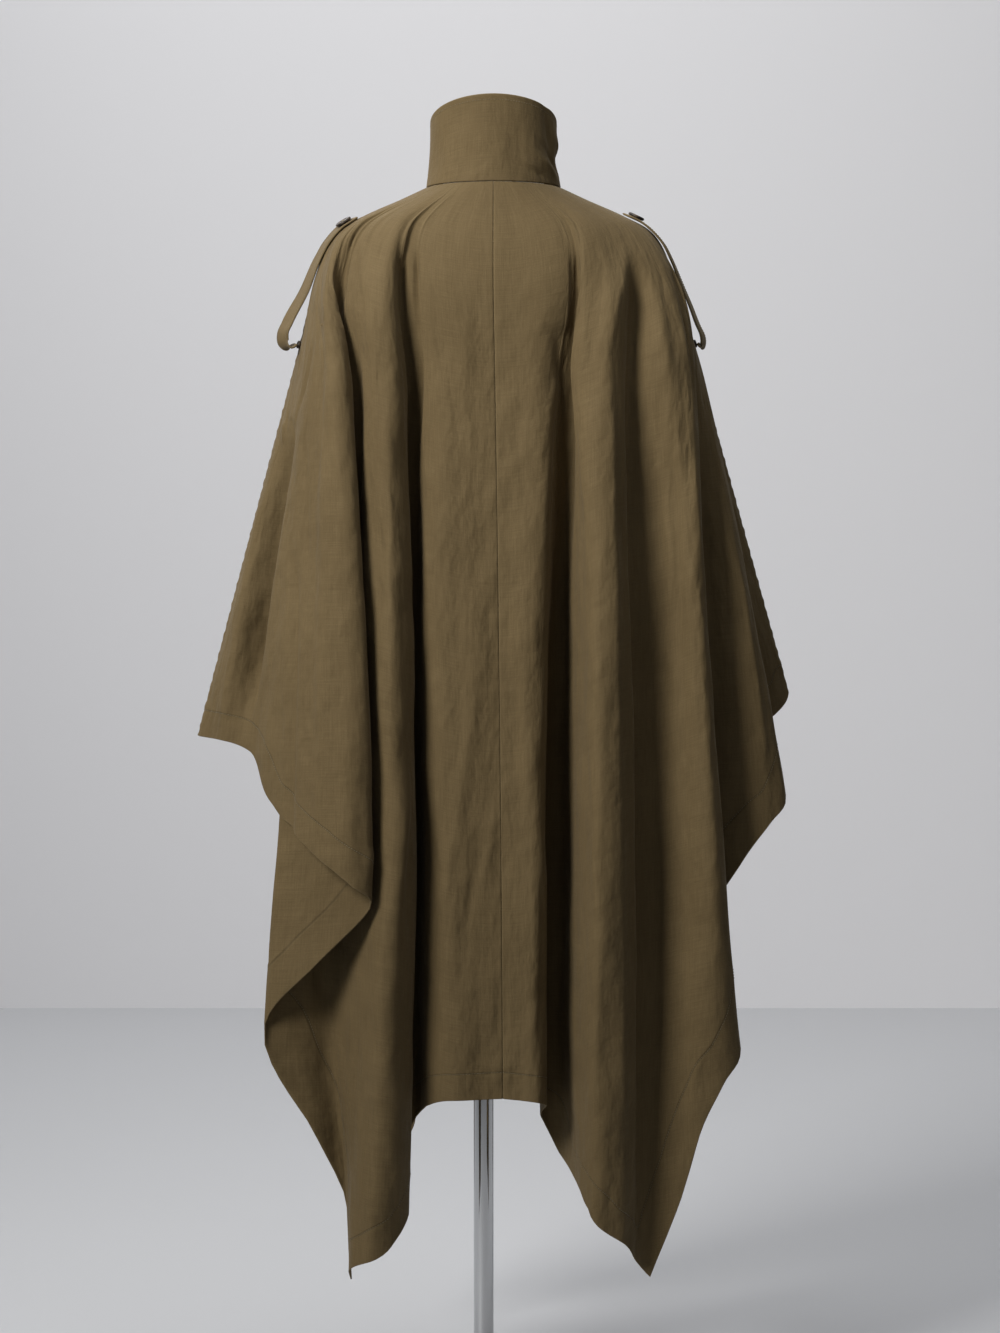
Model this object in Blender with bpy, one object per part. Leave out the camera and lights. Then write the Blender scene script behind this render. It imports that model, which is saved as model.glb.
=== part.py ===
"""Batwing coat on a limbless dress form with a pole stand.

The coat is cut as four quarters: back left, back right, front left and front right.
They meet at the centre back seam, along the shoulders and overarms, and at the centre
front under a fly placket.  Each quarter falls in a cascade to a pointed corner, and the
side edges hang open.  A high stand collar and two buttoned shoulder straps are sewn on.

Frame: metres, +Z up, the floor at z = 0 and the pole on the Z axis.  The wearer's left is
+X and the wearer's back is +Y.
"""
import math
from collections import namedtuple

import bpy
import numpy as np

MM = 0.001

# ---------------------------------------------------------------- driving sizes
WALL = 1.6 * MM                 # thickness of the coat's cloth
SEAM_GAP = 0.3 * MM             # space left between two pieces that are sewn together
COAT_X = -12.5 * MM             # the form and the coat sit this far off the pole's axis

NECK_HEIGHT = 1489 * MM         # neck seam at the back and the sides
NECK_FRONT_DROP = 20 * MM       # how much lower the neck seam runs at the front
FOLDS_START = 1472 * MM         # the folds grow out of the yoke below this height
HIGH, MID, LOW = 1250 * MM, 900 * MM, 450 * MM      # heights at which the folds are set
CASCADE_TIP = 160 * MM          # lowest corner of the coat

STEPS_PER_FOLD = 2              # grid columns from one fold line to the next
ROWS_BELOW_YOKE = 9             # grid rows from the yoke to the cut edge
# Depths of the upper rows below the neck seam, in millimetres, close together over the
# rounded shoulder.
YOKE_ROW_DEPTHS = (0, 9, 19, 31, 44, 57, 73, 97, 127, 165, 210)

PLACKET_OFF = 0.5 * MM          # space between the front panels and the fly placket
PLACKET_TOP_SHARE = 0.3         # the placket stops this share of a row below the neck seam

COLLAR_WALL = 2.6 * MM
COLLAR_TOP_BACK = 1595 * MM
COLLAR_TOP_SIDE = 1576 * MM
COLLAR_TOP_FRONT = 1564 * MM
COLLAR_TOP_OUT = 78 * MM        # half width of the collar's top edge
COLLAR_TOP_DEEP = 71 * MM       # half depth of the collar's top edge
COLLAR_LAP = 24                 # degrees by which the left end laps over the right end
COLLAR_LAP_OFF = COLLAR_WALL + 0.9 * MM
COLLAR_COLUMNS = 40
COLLAR_ROWS = 4

STRAP_WIDTH = 32 * MM
STRAP_WALL = 2.4 * MM
STRAP_POINT = 13 * MM           # length of the strap's pointed end
STRAP_STATIONS = 30

BUTTON_RADIUS = 10.5 * MM
BUTTON_HEIGHT = 3.8 * MM
BUTTON_AT = 17 * MM             # from the strap's point to the button's centre
LOOP_BUTTON_RADIUS = 5.0 * MM
LOOP_BUTTON_HEIGHT = 3.2 * MM
LOOP_BUTTON_SHANK = 0.9 * MM    # thread length under the small button, off the curved cloth
BUTTON_COLUMNS = 16
TOUCH_GAP = 0.3 * MM            # space between hard pieces that touch

FORM_CLEAR = WALL + 0.6 * MM    # the form lies this far inside the yoke
FORM_COLUMNS = 36
CAP_HEIGHT = 16 * MM

POLE_RADIUS = 12.5 * MM
BASE_RADIUS = 150 * MM
BASE_HEIGHT = 12 * MM
BASE_BEVEL = 3 * MM
FERRULE_RADIUS = 19 * MM
FERRULE_HEIGHT = 28 * MM

# ---------------------------------------------------------------- yoke
# Loops of the coat over the shoulders, in millimetres: half width, and depth behind and
# in front of the shoulder line.
YokeLoop = namedtuple("YokeLoop", "height half_width back front")
YOKE = (
    YokeLoop(1489, 83, 75, 72),
    YokeLoop(1475, 113, 81, 77),
    YokeLoop(1455, 158, 88, 84),
    YokeLoop(1437, 190, 94, 92),
    YokeLoop(1420, 204, 99, 98),
    YokeLoop(1400, 213, 104, 105),
    YokeLoop(1350, 230, 113, 120),
    YokeLoop(1250, 252, 122, 138),
    YokeLoop(1150, 279, 130, 146),
)

# Sections of the dress form below the shoulders, in millimetres.
FormRing = namedtuple("FormRing", "height half_width back front")
FORM_BODY = (
    FormRing(1395, 184, 97, 98),
    FormRing(1350, 178, 102, 110),
    FormRing(1250, 165, 98, 122),
    FormRing(1150, 149, 84, 108),
    FormRing(1050, 131, 69, 88),
    FormRing(960, 148, 73, 90),
    FormRing(915, 151, 72, 88),
    FormRing(903, 146, 68, 83),
    FormRing(900, 138, 62, 77),
)
FORM_NECK = (
    FormRing(1530, 55, 55, 53),
    FormRing(1505, 57, 57, 55),
    FormRing(1490, 66, 63, 61),
)

# ---------------------------------------------------------------- fold lines
# One row for each crest, flank and valley of a quarter, in millimetres.  share is where
# the line leaves the yoke, from the centre (0) to the overarm (1).  out is the distance
# from the centre plane and deep the distance from the shoulder line, each at the heights
# HIGH, MID and LOW.  edge is the height at which the cloth is cut along the line.
Fold = namedtuple("Fold", "name share out_high deep_high out_mid deep_mid out_low deep_low edge")

CENTRE_BACK = Fold("centre back", 0, -2, 120, -7, 152, -11, 166, 390)
CENTRE_FRONT = Fold("centre front", 0, 0, 140, 0, 162, 0, 170, 392)
OVERARM_LEFT = Fold("left overarm", 1, 252, 0, 345, 0, 463, 0, 814)
OVERARM_RIGHT = Fold("right overarm", 1, 260, 0, 358, 0, 485, 0, 869)

# Back left: the outer cloth laps over the inner cloth, and its underlay shows below it.
BACK_LEFT = (
    Fold("panel", 0.165, 52, 122, 51, 158, 53, 170, 388),
    Fold("panel edge", 0.265, 82, 113, 78, 142, 79, 148, 378),
    Fold("valley near side", 0.298, 93, 101, 94, 90, 96, 84, 350),
    Fold("valley far side", 0.326, 103, 101, 111, 92, 113, 86, 300),
    Fold("first crest undercut", 0.345, 108, 113, 94, 150, 95, 158, 243),
    Fold("first crest", 0.41, 130, 131, 119, 184, 119, 196, 209),
    Fold("first flank", 0.506, 150, 124, 149, 160, 157, 172, 186),
    Fold("corner", 0.565, 177, 101, 190, 122, 186, 130, 160),
    Fold("corner turn", 0.585, 183, 96, 206, 112, 196, 121, 260),
    Fold("underlay", 0.603, 188, 94, 222, 110, 224, 134, 350),
    Fold("underlay fold", 0.622, 194, 95, 239, 122, 276, 152, 467),
    Fold("underlay return", 0.655, 189, 106, 190, 153, 216, 184, 554),
    Fold("second crest undercut", 0.70, 178, 118, 150, 178, 148, 215, 627),
    Fold("second crest", 0.753, 187, 125, 171, 195, 172, 235, 654),
    Fold("second flank", 0.82, 206, 110, 214, 168, 226, 205, 694),
    Fold("outer flank", 0.89, 231, 72, 264, 108, 277, 128, 745),
    Fold("overarm valley", 0.935, 241, 44, 288, 68, 305, 84, 798),
    Fold("overarm side", 0.97, 248, 20, 322, 42, 372, 50, 811),
)

# Back right: the inner cloth laps over the outer cloth, layer under layer outwards.
BACK_RIGHT = (
    Fold("panel", 0.165, 56, 122, 53, 158, 51, 170, 386),
    Fold("panel edge", 0.26, 78, 113, 66, 148, 62, 156, 380),
    Fold("valley near side", 0.288, 88, 102, 68, 96, 60, 88, 350),
    Fold("valley far side", 0.308, 95, 101, 84, 88, 78, 80, 310),
    Fold("first crest undercut", 0.335, 102, 115, 106, 160, 106, 168, 276),
    Fold("first crest", 0.40, 121, 130, 123, 188, 123, 200, 243),
    Fold("first flank", 0.50, 154, 124, 162, 160, 164, 172, 210),
    Fold("corner", 0.60, 185, 112, 196, 122, 197, 128, 165),
    Fold("corner turn", 0.64, 212, 107, 219, 129, 225, 136, 262),
    Fold("second face", 0.68, 227, 101, 237, 142, 248, 150, 349),
    Fold("second crest", 0.715, 239, 93, 251, 148, 274, 150, 404),
    Fold("second undercut", 0.745, 246, 80, 261, 128, 297, 125, 449),
    Fold("second return", 0.78, 243, 68, 241, 88, 258, 86, 560),
    Fold("third face", 0.84, 251, 56, 285, 86, 306, 82, 660),
    Fold("third crest", 0.89, 256, 46, 315, 82, 350, 75, 710),
    Fold("third undercut", 0.93, 258, 36, 331, 66, 392, 60, 742),
    Fold("third return", 0.965, 256, 20, 313, 36, 345, 35, 810),
)

# Both fronts: plainer, with the same kind of cascade.
FRONT = (
    Fold("placket edge", 0.075, 25, 139, 25, 162, 25, 170, 391),
    Fold("panel", 0.165, 56, 136, 55, 160, 54, 170, 390),
    Fold("panel edge", 0.265, 84, 125, 80, 142, 80, 148, 384),
    Fold("valley near side", 0.298, 95, 111, 93, 100, 95, 94, 370),
    Fold("valley far side", 0.324, 105, 111, 111, 102, 113, 96, 342),
    Fold("first crest undercut", 0.345, 110, 121, 97, 150, 98, 154, 300),
    Fold("first crest", 0.41, 131, 139, 119, 184, 118, 190, 255),
    Fold("first flank", 0.50, 155, 130, 152, 166, 152, 176, 215),
    Fold("second valley", 0.57, 174, 116, 178, 130, 174, 140, 190),
    Fold("corner", 0.61, 188, 112, 195, 132, 186, 146, 175),
    Fold("corner turn", 0.64, 200, 108, 212, 140, 205, 158, 265),
    Fold("second crest", 0.69, 214, 99, 231, 146, 240, 158, 400),
    Fold("second undercut", 0.735, 224, 86, 243, 130, 256, 138, 468),
    Fold("second return", 0.78, 221, 72, 224, 94, 230, 96, 570),
    Fold("third face", 0.85, 236, 54, 258, 80, 250, 82, 700),
    Fold("third crest", 0.905, 244, 38, 292, 64, 262, 68, 778),
    Fold("overarm side", 0.96, 249, 18, 318, 36, 330, 40, 803),
)

# ---------------------------------------------------------------- shoulder straps
# Stations down a strap, in millimetres: its height, how far behind the overarm's crest it
# lies, how far it stands off the cloth, and the turn of its face to the back, in degrees.
StrapStation = namedtuple("StrapStation", "height behind lift turn")
STRAP_LEFT = (
    StrapStation(1449, 26, 2.3, 12),
    StrapStation(1437, 26, 2.4, 13),
    StrapStation(1420, 25, 2.8, 14),
    StrapStation(1400, 23, 4, 14),
    StrapStation(1360, 19, 10, 13),
    StrapStation(1320, 15, 22, 12),
    StrapStation(1304, 14, 25, 11),
    StrapStation(1293, 13, 21, 11),
    StrapStation(1290, 13, 13, 11),
    StrapStation(1296, 12, 6, 11),
)
STRAP_RIGHT = (
    StrapStation(1455, 12, 2.3, 6),
    StrapStation(1441, 12, 2.4, 6),
    StrapStation(1421, 12, 2.8, 7),
    StrapStation(1400, 12, 4, 8),
    StrapStation(1360, 12, 8, 9),
    StrapStation(1320, 12, 16, 10),
    StrapStation(1304, 12, 19, 10),
    StrapStation(1294, 12, 16, 10),
    StrapStation(1291, 12, 11, 10),
    StrapStation(1297, 12, 6, 10),
)

# ---------------------------------------------------------------- smooth curves


def smooth_rise(amount):
    """Rise from 0 to 1 with level ends."""
    amount = np.clip(amount, 0.0, 1.0)
    return amount * amount * (3.0 - 2.0 * amount)


def smooth_table(knots, levels, where):
    """Read a table with rising knots, along cubic pieces that never overshoot it."""
    knots = np.asarray(knots, dtype=float)
    levels = np.asarray(levels, dtype=float)
    gaps = np.diff(knots)
    slopes = np.diff(levels) / gaps
    tangents = np.empty_like(levels)
    tangents[0] = slopes[0]
    tangents[-1] = slopes[-1]
    product = slopes[:-1] * slopes[1:]
    total = np.where(product > 0.0, slopes[:-1] + slopes[1:], 1.0)
    tangents[1:-1] = np.where(product > 0.0, 2.0 * product / total, 0.0)
    inside = np.clip(where, knots[0], knots[-1])
    index = np.clip(np.searchsorted(knots, inside, side="right") - 1, 0, len(gaps) - 1)
    gap = gaps[index]
    part = (inside - knots[index]) / gap
    rise = levels[index + 1] - levels[index]
    bend_in = tangents[index] * gap - rise
    bend_out = rise - tangents[index + 1] * gap
    bow = part * (1.0 - part) * (bend_in * (1.0 - part) + bend_out * part)
    below = np.minimum(where - knots[0], 0.0) * tangents[0]
    above = np.maximum(where - knots[-1], 0.0) * tangents[-1]
    return levels[index] + part * rise + bow + below + above


def parabola(high, mid, low, height):
    """The one parabola through the values at HIGH, MID and LOW."""
    first = (mid - high) / (MID - HIGH)
    second = (low - mid) / (LOW - MID)
    bend = (second - first) / (LOW - HIGH)
    return high + (height - HIGH) * (first + bend * (height - MID))


def curve_between(before, start, end, after, part):
    """Points of a centripetal Catmull-Rom curve, part of the way from start to end."""
    def span(first, last):
        return np.maximum(np.sqrt(np.linalg.norm(last - first, axis=-1)), 1e-5)[..., None]

    def mix(first, last, low, high):
        return (first * (high - now) + last * (now - low)) / (high - low)

    t1 = span(before, start)
    t0 = t1 * 0.0
    t2 = t1 + span(start, end)
    t3 = t2 + span(end, after)
    now = t1 + (t2 - t1) * part
    near = mix(mix(before, start, t0, t1), mix(start, end, t1, t2), t0, t2)
    far = mix(mix(start, end, t1, t2), mix(end, after, t2, t3), t1, t3)
    return mix(near, far, t1, t2)


def curve_through(points, count):
    """Evenly numbered points of a smooth curve through a short list of points."""
    points = np.asarray(points, dtype=float)
    padded = np.vstack([2 * points[0] - points[1], points, 2 * points[-1] - points[-2]])
    result = []
    for step in range(count):
        place = step * (len(points) - 1) / (count - 1)
        index = min(int(place), len(points) - 2)
        result.append(curve_between(*padded[index:index + 4], place - index))
    return np.array(result)


# ---------------------------------------------------------------- the coat's surface
# The fold lines of a side run from the centre back round the overarm to the centre front.
# face is +1 behind the shoulder line and -1 in front of it, side is +1 on the left, and
# spread widens the line's distance from the centre.
Line = namedtuple("Line", "fold face side spread")


def raised_edge(fold, reach):
    """The fold with its cut edge moved away from the cascade's tip in proportion."""
    tip = CASCADE_TIP / MM
    return fold._replace(edge=tip + (fold.edge - tip) * reach)


def side_lines(side, back, overarm):
    """All fold lines of one side, from centre back to centre front."""
    spread = overarm.out_mid / OVERARM_LEFT.out_mid
    tip = CASCADE_TIP / MM
    reach = (overarm.edge - tip) / (OVERARM_LEFT.edge - tip)
    lines = [Line(CENTRE_BACK, 1, side, 1.0)]
    lines += [Line(fold, 1, side, 1.0) for fold in back]
    lines.append(Line(overarm, 1, side, 1.0))
    lines += [Line(raised_edge(fold, reach), -1, side, spread) for fold in reversed(FRONT)]
    lines.append(Line(CENTRE_FRONT, -1, side, 1.0))
    return lines


LINES = {
    1: side_lines(1, BACK_LEFT, OVERARM_LEFT),
    -1: side_lines(-1, BACK_RIGHT, OVERARM_RIGHT),
}
LAST_LINE = {side: len(LINES[side]) - 1 for side in LINES}
OVERARM_LINE = {1: len(BACK_LEFT) + 1, -1: len(BACK_RIGHT) + 1}


def loop_at(rings, height):
    """Half width, back depth and front depth of a stack of rings at a height."""
    rings = sorted(rings)
    knots = [ring.height * MM for ring in rings]
    return [smooth_table(knots, [ring[field] * MM for ring in rings], height) for field in (1, 2, 3)]


def line_point(line, height):
    """Plan points of a fold line at the given heights."""
    fold = line.fold
    half_width, back, front = loop_at(YOKE, height)
    angle = math.radians(90.0 * fold.share)
    yoke_out = half_width * math.sin(angle)
    yoke_deep = (back if line.face > 0 else front) * math.cos(angle)
    out = parabola(fold.out_high, fold.out_mid, fold.out_low, height) * MM * line.spread
    deep = parabola(fold.deep_high, fold.deep_mid, fold.deep_low, height) * MM
    grown = smooth_rise((FOLDS_START - height) / (FOLDS_START - HIGH))
    out = yoke_out + (out - yoke_out) * grown
    deep = yoke_deep + (deep - yoke_deep) * grown
    sign = 1 if fold is CENTRE_BACK else line.side
    return np.stack([out * sign, deep * line.face], axis=-1)


def plan_point(side, place, height):
    """Plan points at a place, which counts the fold lines of a side from the centre back."""
    last = LAST_LINE[side]
    index = min(int(place), last - 1)

    def control(number):
        if number < 0:
            return line_point(LINES[-side][-number], height)
        if number > last:
            return line_point(LINES[-side][LAST_LINE[-side] - (number - last)], height)
        return line_point(LINES[side][number], height)

    return curve_between(*[control(index + step) for step in (-1, 0, 1, 2)], place - index)


def edge_height(side, place):
    """Height of the cut edge: a smooth line, broken only at the cascades' corners."""
    lines = LINES[side]
    corners = [number for number, line in enumerate(lines) if line.fold.name == "corner"]
    stops = [0] + corners + [OVERARM_LINE[side], LAST_LINE[side]]
    stops = sorted(set(stops))
    for first, last in zip(stops, stops[1:]):
        if place <= last:
            places = range(first, last + 1)
            return float(smooth_table(places, [lines[n].fold.edge * MM for n in places], place))
    return lines[-1].fold.edge * MM


def neck_height(side, place):
    """Height of the neck seam: level behind and at the sides, dipping at the front."""
    if place <= OVERARM_LINE[side]:
        return NECK_HEIGHT
    shares = [line.fold.share for line in LINES[side]]
    share = np.interp(place, range(len(shares)), shares)
    return NECK_HEIGHT - NECK_FRONT_DROP * float(smooth_rise(1.0 - share))


def row_heights(top, edge):
    """Heights of the grid rows from the neck seam to the cut edge."""
    upper = [top - depth * MM for depth in YOKE_ROW_DEPTHS]
    steps = range(1, ROWS_BELOW_YOKE + 1)
    lower = [upper[-1] + (edge - upper[-1]) * step / ROWS_BELOW_YOKE for step in steps]
    return np.array(upper + lower)


def column_points(side, place):
    """Points down the outside of the cloth at one place, past either centre if need be."""
    if place < 0:
        side, place = -side, -place
    elif place > LAST_LINE[side]:
        side, place = -side, LAST_LINE[-side] - (place - LAST_LINE[side])
    heights = row_heights(neck_height(side, place), edge_height(side, place))
    plan = plan_point(side, place, heights)
    return np.column_stack([plan[:, 0] + COAT_X, plan[:, 1], heights])


def cloth_between(side, first, last):
    """Grid of points from one fold line to another, and its unit normals outwards.

    The normals at its ends also look at the cloth beyond, so that two pieces agree there.
    """
    count = (last - first) * STEPS_PER_FOLD
    places = [first + step / STEPS_PER_FOLD for step in range(-1, count + 2)]
    grid = np.array([column_points(side, place) for place in places])
    normals = np.cross(np.gradient(grid, axis=0), np.gradient(grid, axis=1))
    normals *= side / np.linalg.norm(normals, axis=-1, keepdims=True)
    return grid[1:-1], normals[1:-1]


# ---------------------------------------------------------------- solids from grids


def make_material(name, colour, roughness, metallic=0.0):
    """A plain surface."""
    material = bpy.data.materials.new(name)
    material.use_nodes = True
    shader = material.node_tree.nodes["Principled BSDF"]
    shader.inputs["Base Color"].default_value = (*colour, 1.0)
    shader.inputs["Roughness"].default_value = roughness
    shader.inputs["Metallic"].default_value = metallic
    return material


def make_solid(name, points, faces, material):
    """One named object from points and faces."""
    mesh = bpy.data.meshes.new(name)
    mesh.from_pydata([tuple(point) for point in points], [], faces)
    mesh.materials.append(material)
    mesh.shade_smooth()
    mesh.set_sharp_from_angle(angle=math.radians(50))
    solid = bpy.data.objects.new(name, mesh)
    bpy.context.collection.objects.link(solid)
    return solid


def wall_faces(columns, rows):
    """Quads of a wall: its outer points come first, then its inner points."""
    def outer(column, row):
        return column * rows + row

    def inner(column, row):
        return columns * rows + outer(column, row)

    faces = []
    low, end = rows - 1, columns - 1
    for column in range(columns - 1):
        following = column + 1
        for row in range(rows - 1):
            faces.append((outer(column, row), outer(following, row),
                          outer(following, row + 1), outer(column, row + 1)))
            faces.append((inner(column, row), inner(column, row + 1),
                          inner(following, row + 1), inner(following, row)))
        faces.append((outer(column, 0), inner(column, 0), inner(following, 0), outer(following, 0)))
        faces.append((inner(column, low), outer(column, low), outer(following, low), inner(following, low)))
    for row in range(rows - 1):
        faces.append((outer(0, row), outer(0, row + 1), inner(0, row + 1), inner(0, row)))
        faces.append((outer(end, row), inner(end, row), inner(end, row + 1), outer(end, row + 1)))
    return faces


def make_wall(name, outside, inside, material):
    """A wall between two grids, whose columns run clockwise when seen from above."""
    columns, rows = outside.shape[:2]
    points = np.concatenate([outside.reshape(-1, 3), inside.reshape(-1, 3)])
    return make_solid(name, points, wall_faces(columns, rows), material)


def make_lathe(name, rings, columns, material):
    """A closed solid from stacked rings of points, listed from bottom to top."""
    points = [point for ring in rings for point in ring]
    faces = [tuple(reversed(range(columns)))]
    for level in range(len(rings) - 1):
        for column in range(columns):
            following = (column + 1) % columns
            low, high = level * columns, (level + 1) * columns
            faces.append((low + column, low + following, high + following, high + column))
    top = (len(rings) - 1) * columns
    faces.append(tuple(range(top, top + columns)))
    return make_solid(name, points, faces, material)


def ellipse_ring(half_width, back, front, height, columns, x=0.0):
    """Points round a ring that may be deeper in front than behind."""
    ring = []
    for column in range(columns):
        angle = 2.0 * math.pi * column / columns
        depth = back if math.sin(angle) > 0.0 else front
        ring.append((x + half_width * math.cos(angle), depth * math.sin(angle), height))
    return ring


# ---------------------------------------------------------------- the coat's pieces


def quarter_grids(side, first, last):
    """Outer and inner grids of a quarter, with half a seam's space at its side edges."""
    grid, outward = cloth_between(side, first, last)
    for edge, neighbour in ((0, 1), (-1, -2)):
        step = grid[neighbour] - grid[edge]
        step /= np.linalg.norm(step, axis=-1, keepdims=True)
        grid[edge] += step * SEAM_GAP / 2
    return grid, grid - outward * WALL


def make_quarter(name, side, first, last, material):
    """One cut quarter of the coat."""
    outside, inside = quarter_grids(side, first, last)
    if side < 0:
        outside, inside = outside[::-1], inside[::-1]
    make_wall(name, outside, inside, material)


def make_placket(material):
    """The fly placket over the centre front, made from the front panels' points."""
    left, left_out = cloth_between(1, LAST_LINE[1] - 1, LAST_LINE[1])
    right, right_out = cloth_between(-1, LAST_LINE[-1] - 1, LAST_LINE[-1])
    grid = np.concatenate([left, right[-2::-1]])
    outward = np.concatenate([left_out, right_out[-2::-1]])
    grid[:, 0] += (grid[:, 1] - grid[:, 0]) * PLACKET_TOP_SHARE
    inside = grid + outward * PLACKET_OFF
    make_wall("front_placket", inside + outward * WALL, inside, material)


def neck_point(angle):
    """Point of the neck seam at an angle in degrees from the centre back, left positive."""
    share = abs(angle) / 90.0 if abs(angle) <= 90.0 else 2.0 - abs(angle) / 90.0
    height = NECK_HEIGHT
    if abs(angle) > 90.0:
        height -= NECK_FRONT_DROP * float(smooth_rise(1.0 - share))
    half_width, back, front = loop_at(YOKE, height)
    turn = math.radians(angle)
    depth = back if abs(angle) <= 90.0 else front
    return np.array([COAT_X + half_width * math.sin(turn), depth * math.cos(turn), height])


def collar_top(angle):
    """Point of the collar's top edge at an angle in degrees from the centre back."""
    turn = math.radians(angle)
    rise = math.cos(turn)
    other = COLLAR_TOP_BACK if rise > 0.0 else COLLAR_TOP_FRONT
    height = COLLAR_TOP_SIDE + (other - COLLAR_TOP_SIDE) * abs(rise)
    return np.array([COAT_X + COLLAR_TOP_OUT * math.sin(turn), COLLAR_TOP_DEEP * rise, height])


def make_collar(material):
    """The stand collar, whose left end laps over its right end at the front."""
    outside, inside = [], []
    for column in range(COLLAR_COLUMNS + 1):
        angle = -180.0 + (360.0 + COLLAR_LAP) * column / COLLAR_COLUMNS
        wrapped = angle if angle <= 180.0 else angle - 360.0
        off = COLLAR_LAP_OFF * float(smooth_rise((angle - 150.0) / 28.0))
        outward = np.array([math.sin(math.radians(angle)), math.cos(math.radians(angle)), 0.0])
        low = neck_point(wrapped) + np.array([0.0, 0.0, SEAM_GAP])
        high = collar_top(wrapped)
        line = np.array([low + (high - low) * row / (COLLAR_ROWS - 1) for row in range(COLLAR_ROWS)])
        line = line[::-1] + outward * off
        outside.append(line)
        inside.append(line - outward * COLLAR_WALL)
    make_wall("collar", np.array(outside), np.array(inside), material)


# ---------------------------------------------------------------- straps and buttons


def crest_facing(side, height):
    """Direction that the overarm's crest faces at a height."""
    line = LINES[side][OVERARM_LINE[side]]
    step = 1.0 * MM
    higher, lower = line_point(line, np.array([height + step, height - step]))[:, 0]
    facing = np.array([2.0 * step * side, 0.0, abs(lower - higher)])
    return facing / np.linalg.norm(facing)


def cloth_beside_crest(side, height, behind):
    """Point of the cloth at a height, a little behind the overarm's crest."""
    near, far = OVERARM_LINE[side] - 6.0, float(OVERARM_LINE[side])
    level = np.array([height])
    for _ in range(30):
        middle = (near + far) / 2
        if plan_point(side, middle, level)[0, 1] > behind:
            near = middle
        else:
            far = middle
    plan = plan_point(side, far, level)[0]
    return np.array([plan[0] + COAT_X, plan[1], height])


def strap_seat(side, station):
    """Point of the cloth under a strap's station, and the direction the strap faces."""
    height, behind = station.height * MM, station.behind * MM
    facing = crest_facing(side, height)
    turn = math.radians(station.turn)
    face = facing * math.cos(turn) + np.array([0.0, math.sin(turn), 0.0])
    return cloth_beside_crest(side, height, behind), facing, face


def strap_frames(side, stations):
    """Centre, running direction and width direction at each step down a strap."""
    centres, faces = [], []
    for station in stations:
        seat, facing, face = strap_seat(side, station)
        centres.append(seat + facing * station.lift * MM)
        faces.append(face)
    centres = curve_through(centres, STRAP_STATIONS)
    faces = curve_through(faces, STRAP_STATIONS)
    along = np.gradient(centres, axis=0)
    along /= np.linalg.norm(along, axis=1, keepdims=True)
    width = np.cross(faces, np.array([0.0, 0.0, -1.0]))
    across = np.cross(along, np.cross(width, along))
    across /= np.linalg.norm(across, axis=1, keepdims=True)
    return centres, along, across


def make_strap(name, side, stations, material):
    """A shoulder strap: pointed and buttoned at the neck end, looped at the sleeve end."""
    centres, along, across = strap_frames(side, stations)
    outward = np.cross(along, across)
    lengths = np.linalg.norm(np.diff(centres, axis=0), axis=1)
    travelled = np.concatenate([[0.0], np.cumsum(lengths)])
    half = STRAP_WIDTH / 2 * np.clip(0.12 + 0.88 * travelled / STRAP_POINT, 0.12, 1.0)
    columns = []
    for fraction in (1.0, 0.0, -1.0):
        columns.append(centres + across * (half * fraction)[:, None])
    middle = np.array(columns)
    outside = middle + outward * STRAP_WALL / 2
    inside = middle - outward * STRAP_WALL / 2
    make_wall(name, outside, inside, material)
    return centres, outward, travelled


def make_button(name, centre, facing, radius, height, material):
    """A turned button with a raised rim, its back at the centre point."""
    profile = (
        (0.80, 0.0), (1.0, 0.30), (1.0, 0.72), (0.90, 1.0), (0.74, 1.0), (0.62, 0.78), (0.25, 0.72),
    )
    facing = facing / np.linalg.norm(facing)
    side = np.cross(facing, np.array([0.0, 1.0, 0.0]))
    side /= np.linalg.norm(side)
    other = np.cross(facing, side)
    rings = []
    for share, level in profile:
        ring = []
        for column in range(BUTTON_COLUMNS):
            angle = 2.0 * math.pi * column / BUTTON_COLUMNS
            spoke = side * math.cos(angle) + other * math.sin(angle)
            ring.append(centre + spoke * radius * share + facing * height * level)
        rings.append(ring)
    make_lathe(name, rings, BUTTON_COLUMNS, material)


def make_straps(cloth, horn):
    """Both shoulder straps with their buttons."""
    for side, word, stations in ((1, "left", STRAP_LEFT), (-1, "right", STRAP_RIGHT)):
        centres, outward, travelled = make_strap("strap_" + word, side, stations, cloth)
        station = int(np.searchsorted(travelled, BUTTON_AT))
        seat = centres[station] + outward[station] * (STRAP_WALL / 2 + TOUCH_GAP)
        make_button("button_" + word, seat, outward[station], BUTTON_RADIUS, BUTTON_HEIGHT, horn)
        seat, _, face = strap_seat(side, stations[-1])
        foot = seat + face * LOOP_BUTTON_SHANK
        make_button("loop_button_" + word, foot, face, LOOP_BUTTON_RADIUS, LOOP_BUTTON_HEIGHT, horn)


# ---------------------------------------------------------------- the form and its stand


def form_rings():
    """Rings of the torso from its underside to the neck."""
    rings = []
    for ring in reversed(FORM_BODY):
        rings.append(ring)
    for height in (1420, 1435, 1448, 1460, 1472, 1481):
        half_width, back, front = loop_at(YOKE, height * MM + FORM_CLEAR)
        inset = [(size - FORM_CLEAR) / MM for size in (half_width, back, front)]
        rings.append(FormRing(height, *inset))
    rings += reversed(FORM_NECK)
    return rings


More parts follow.
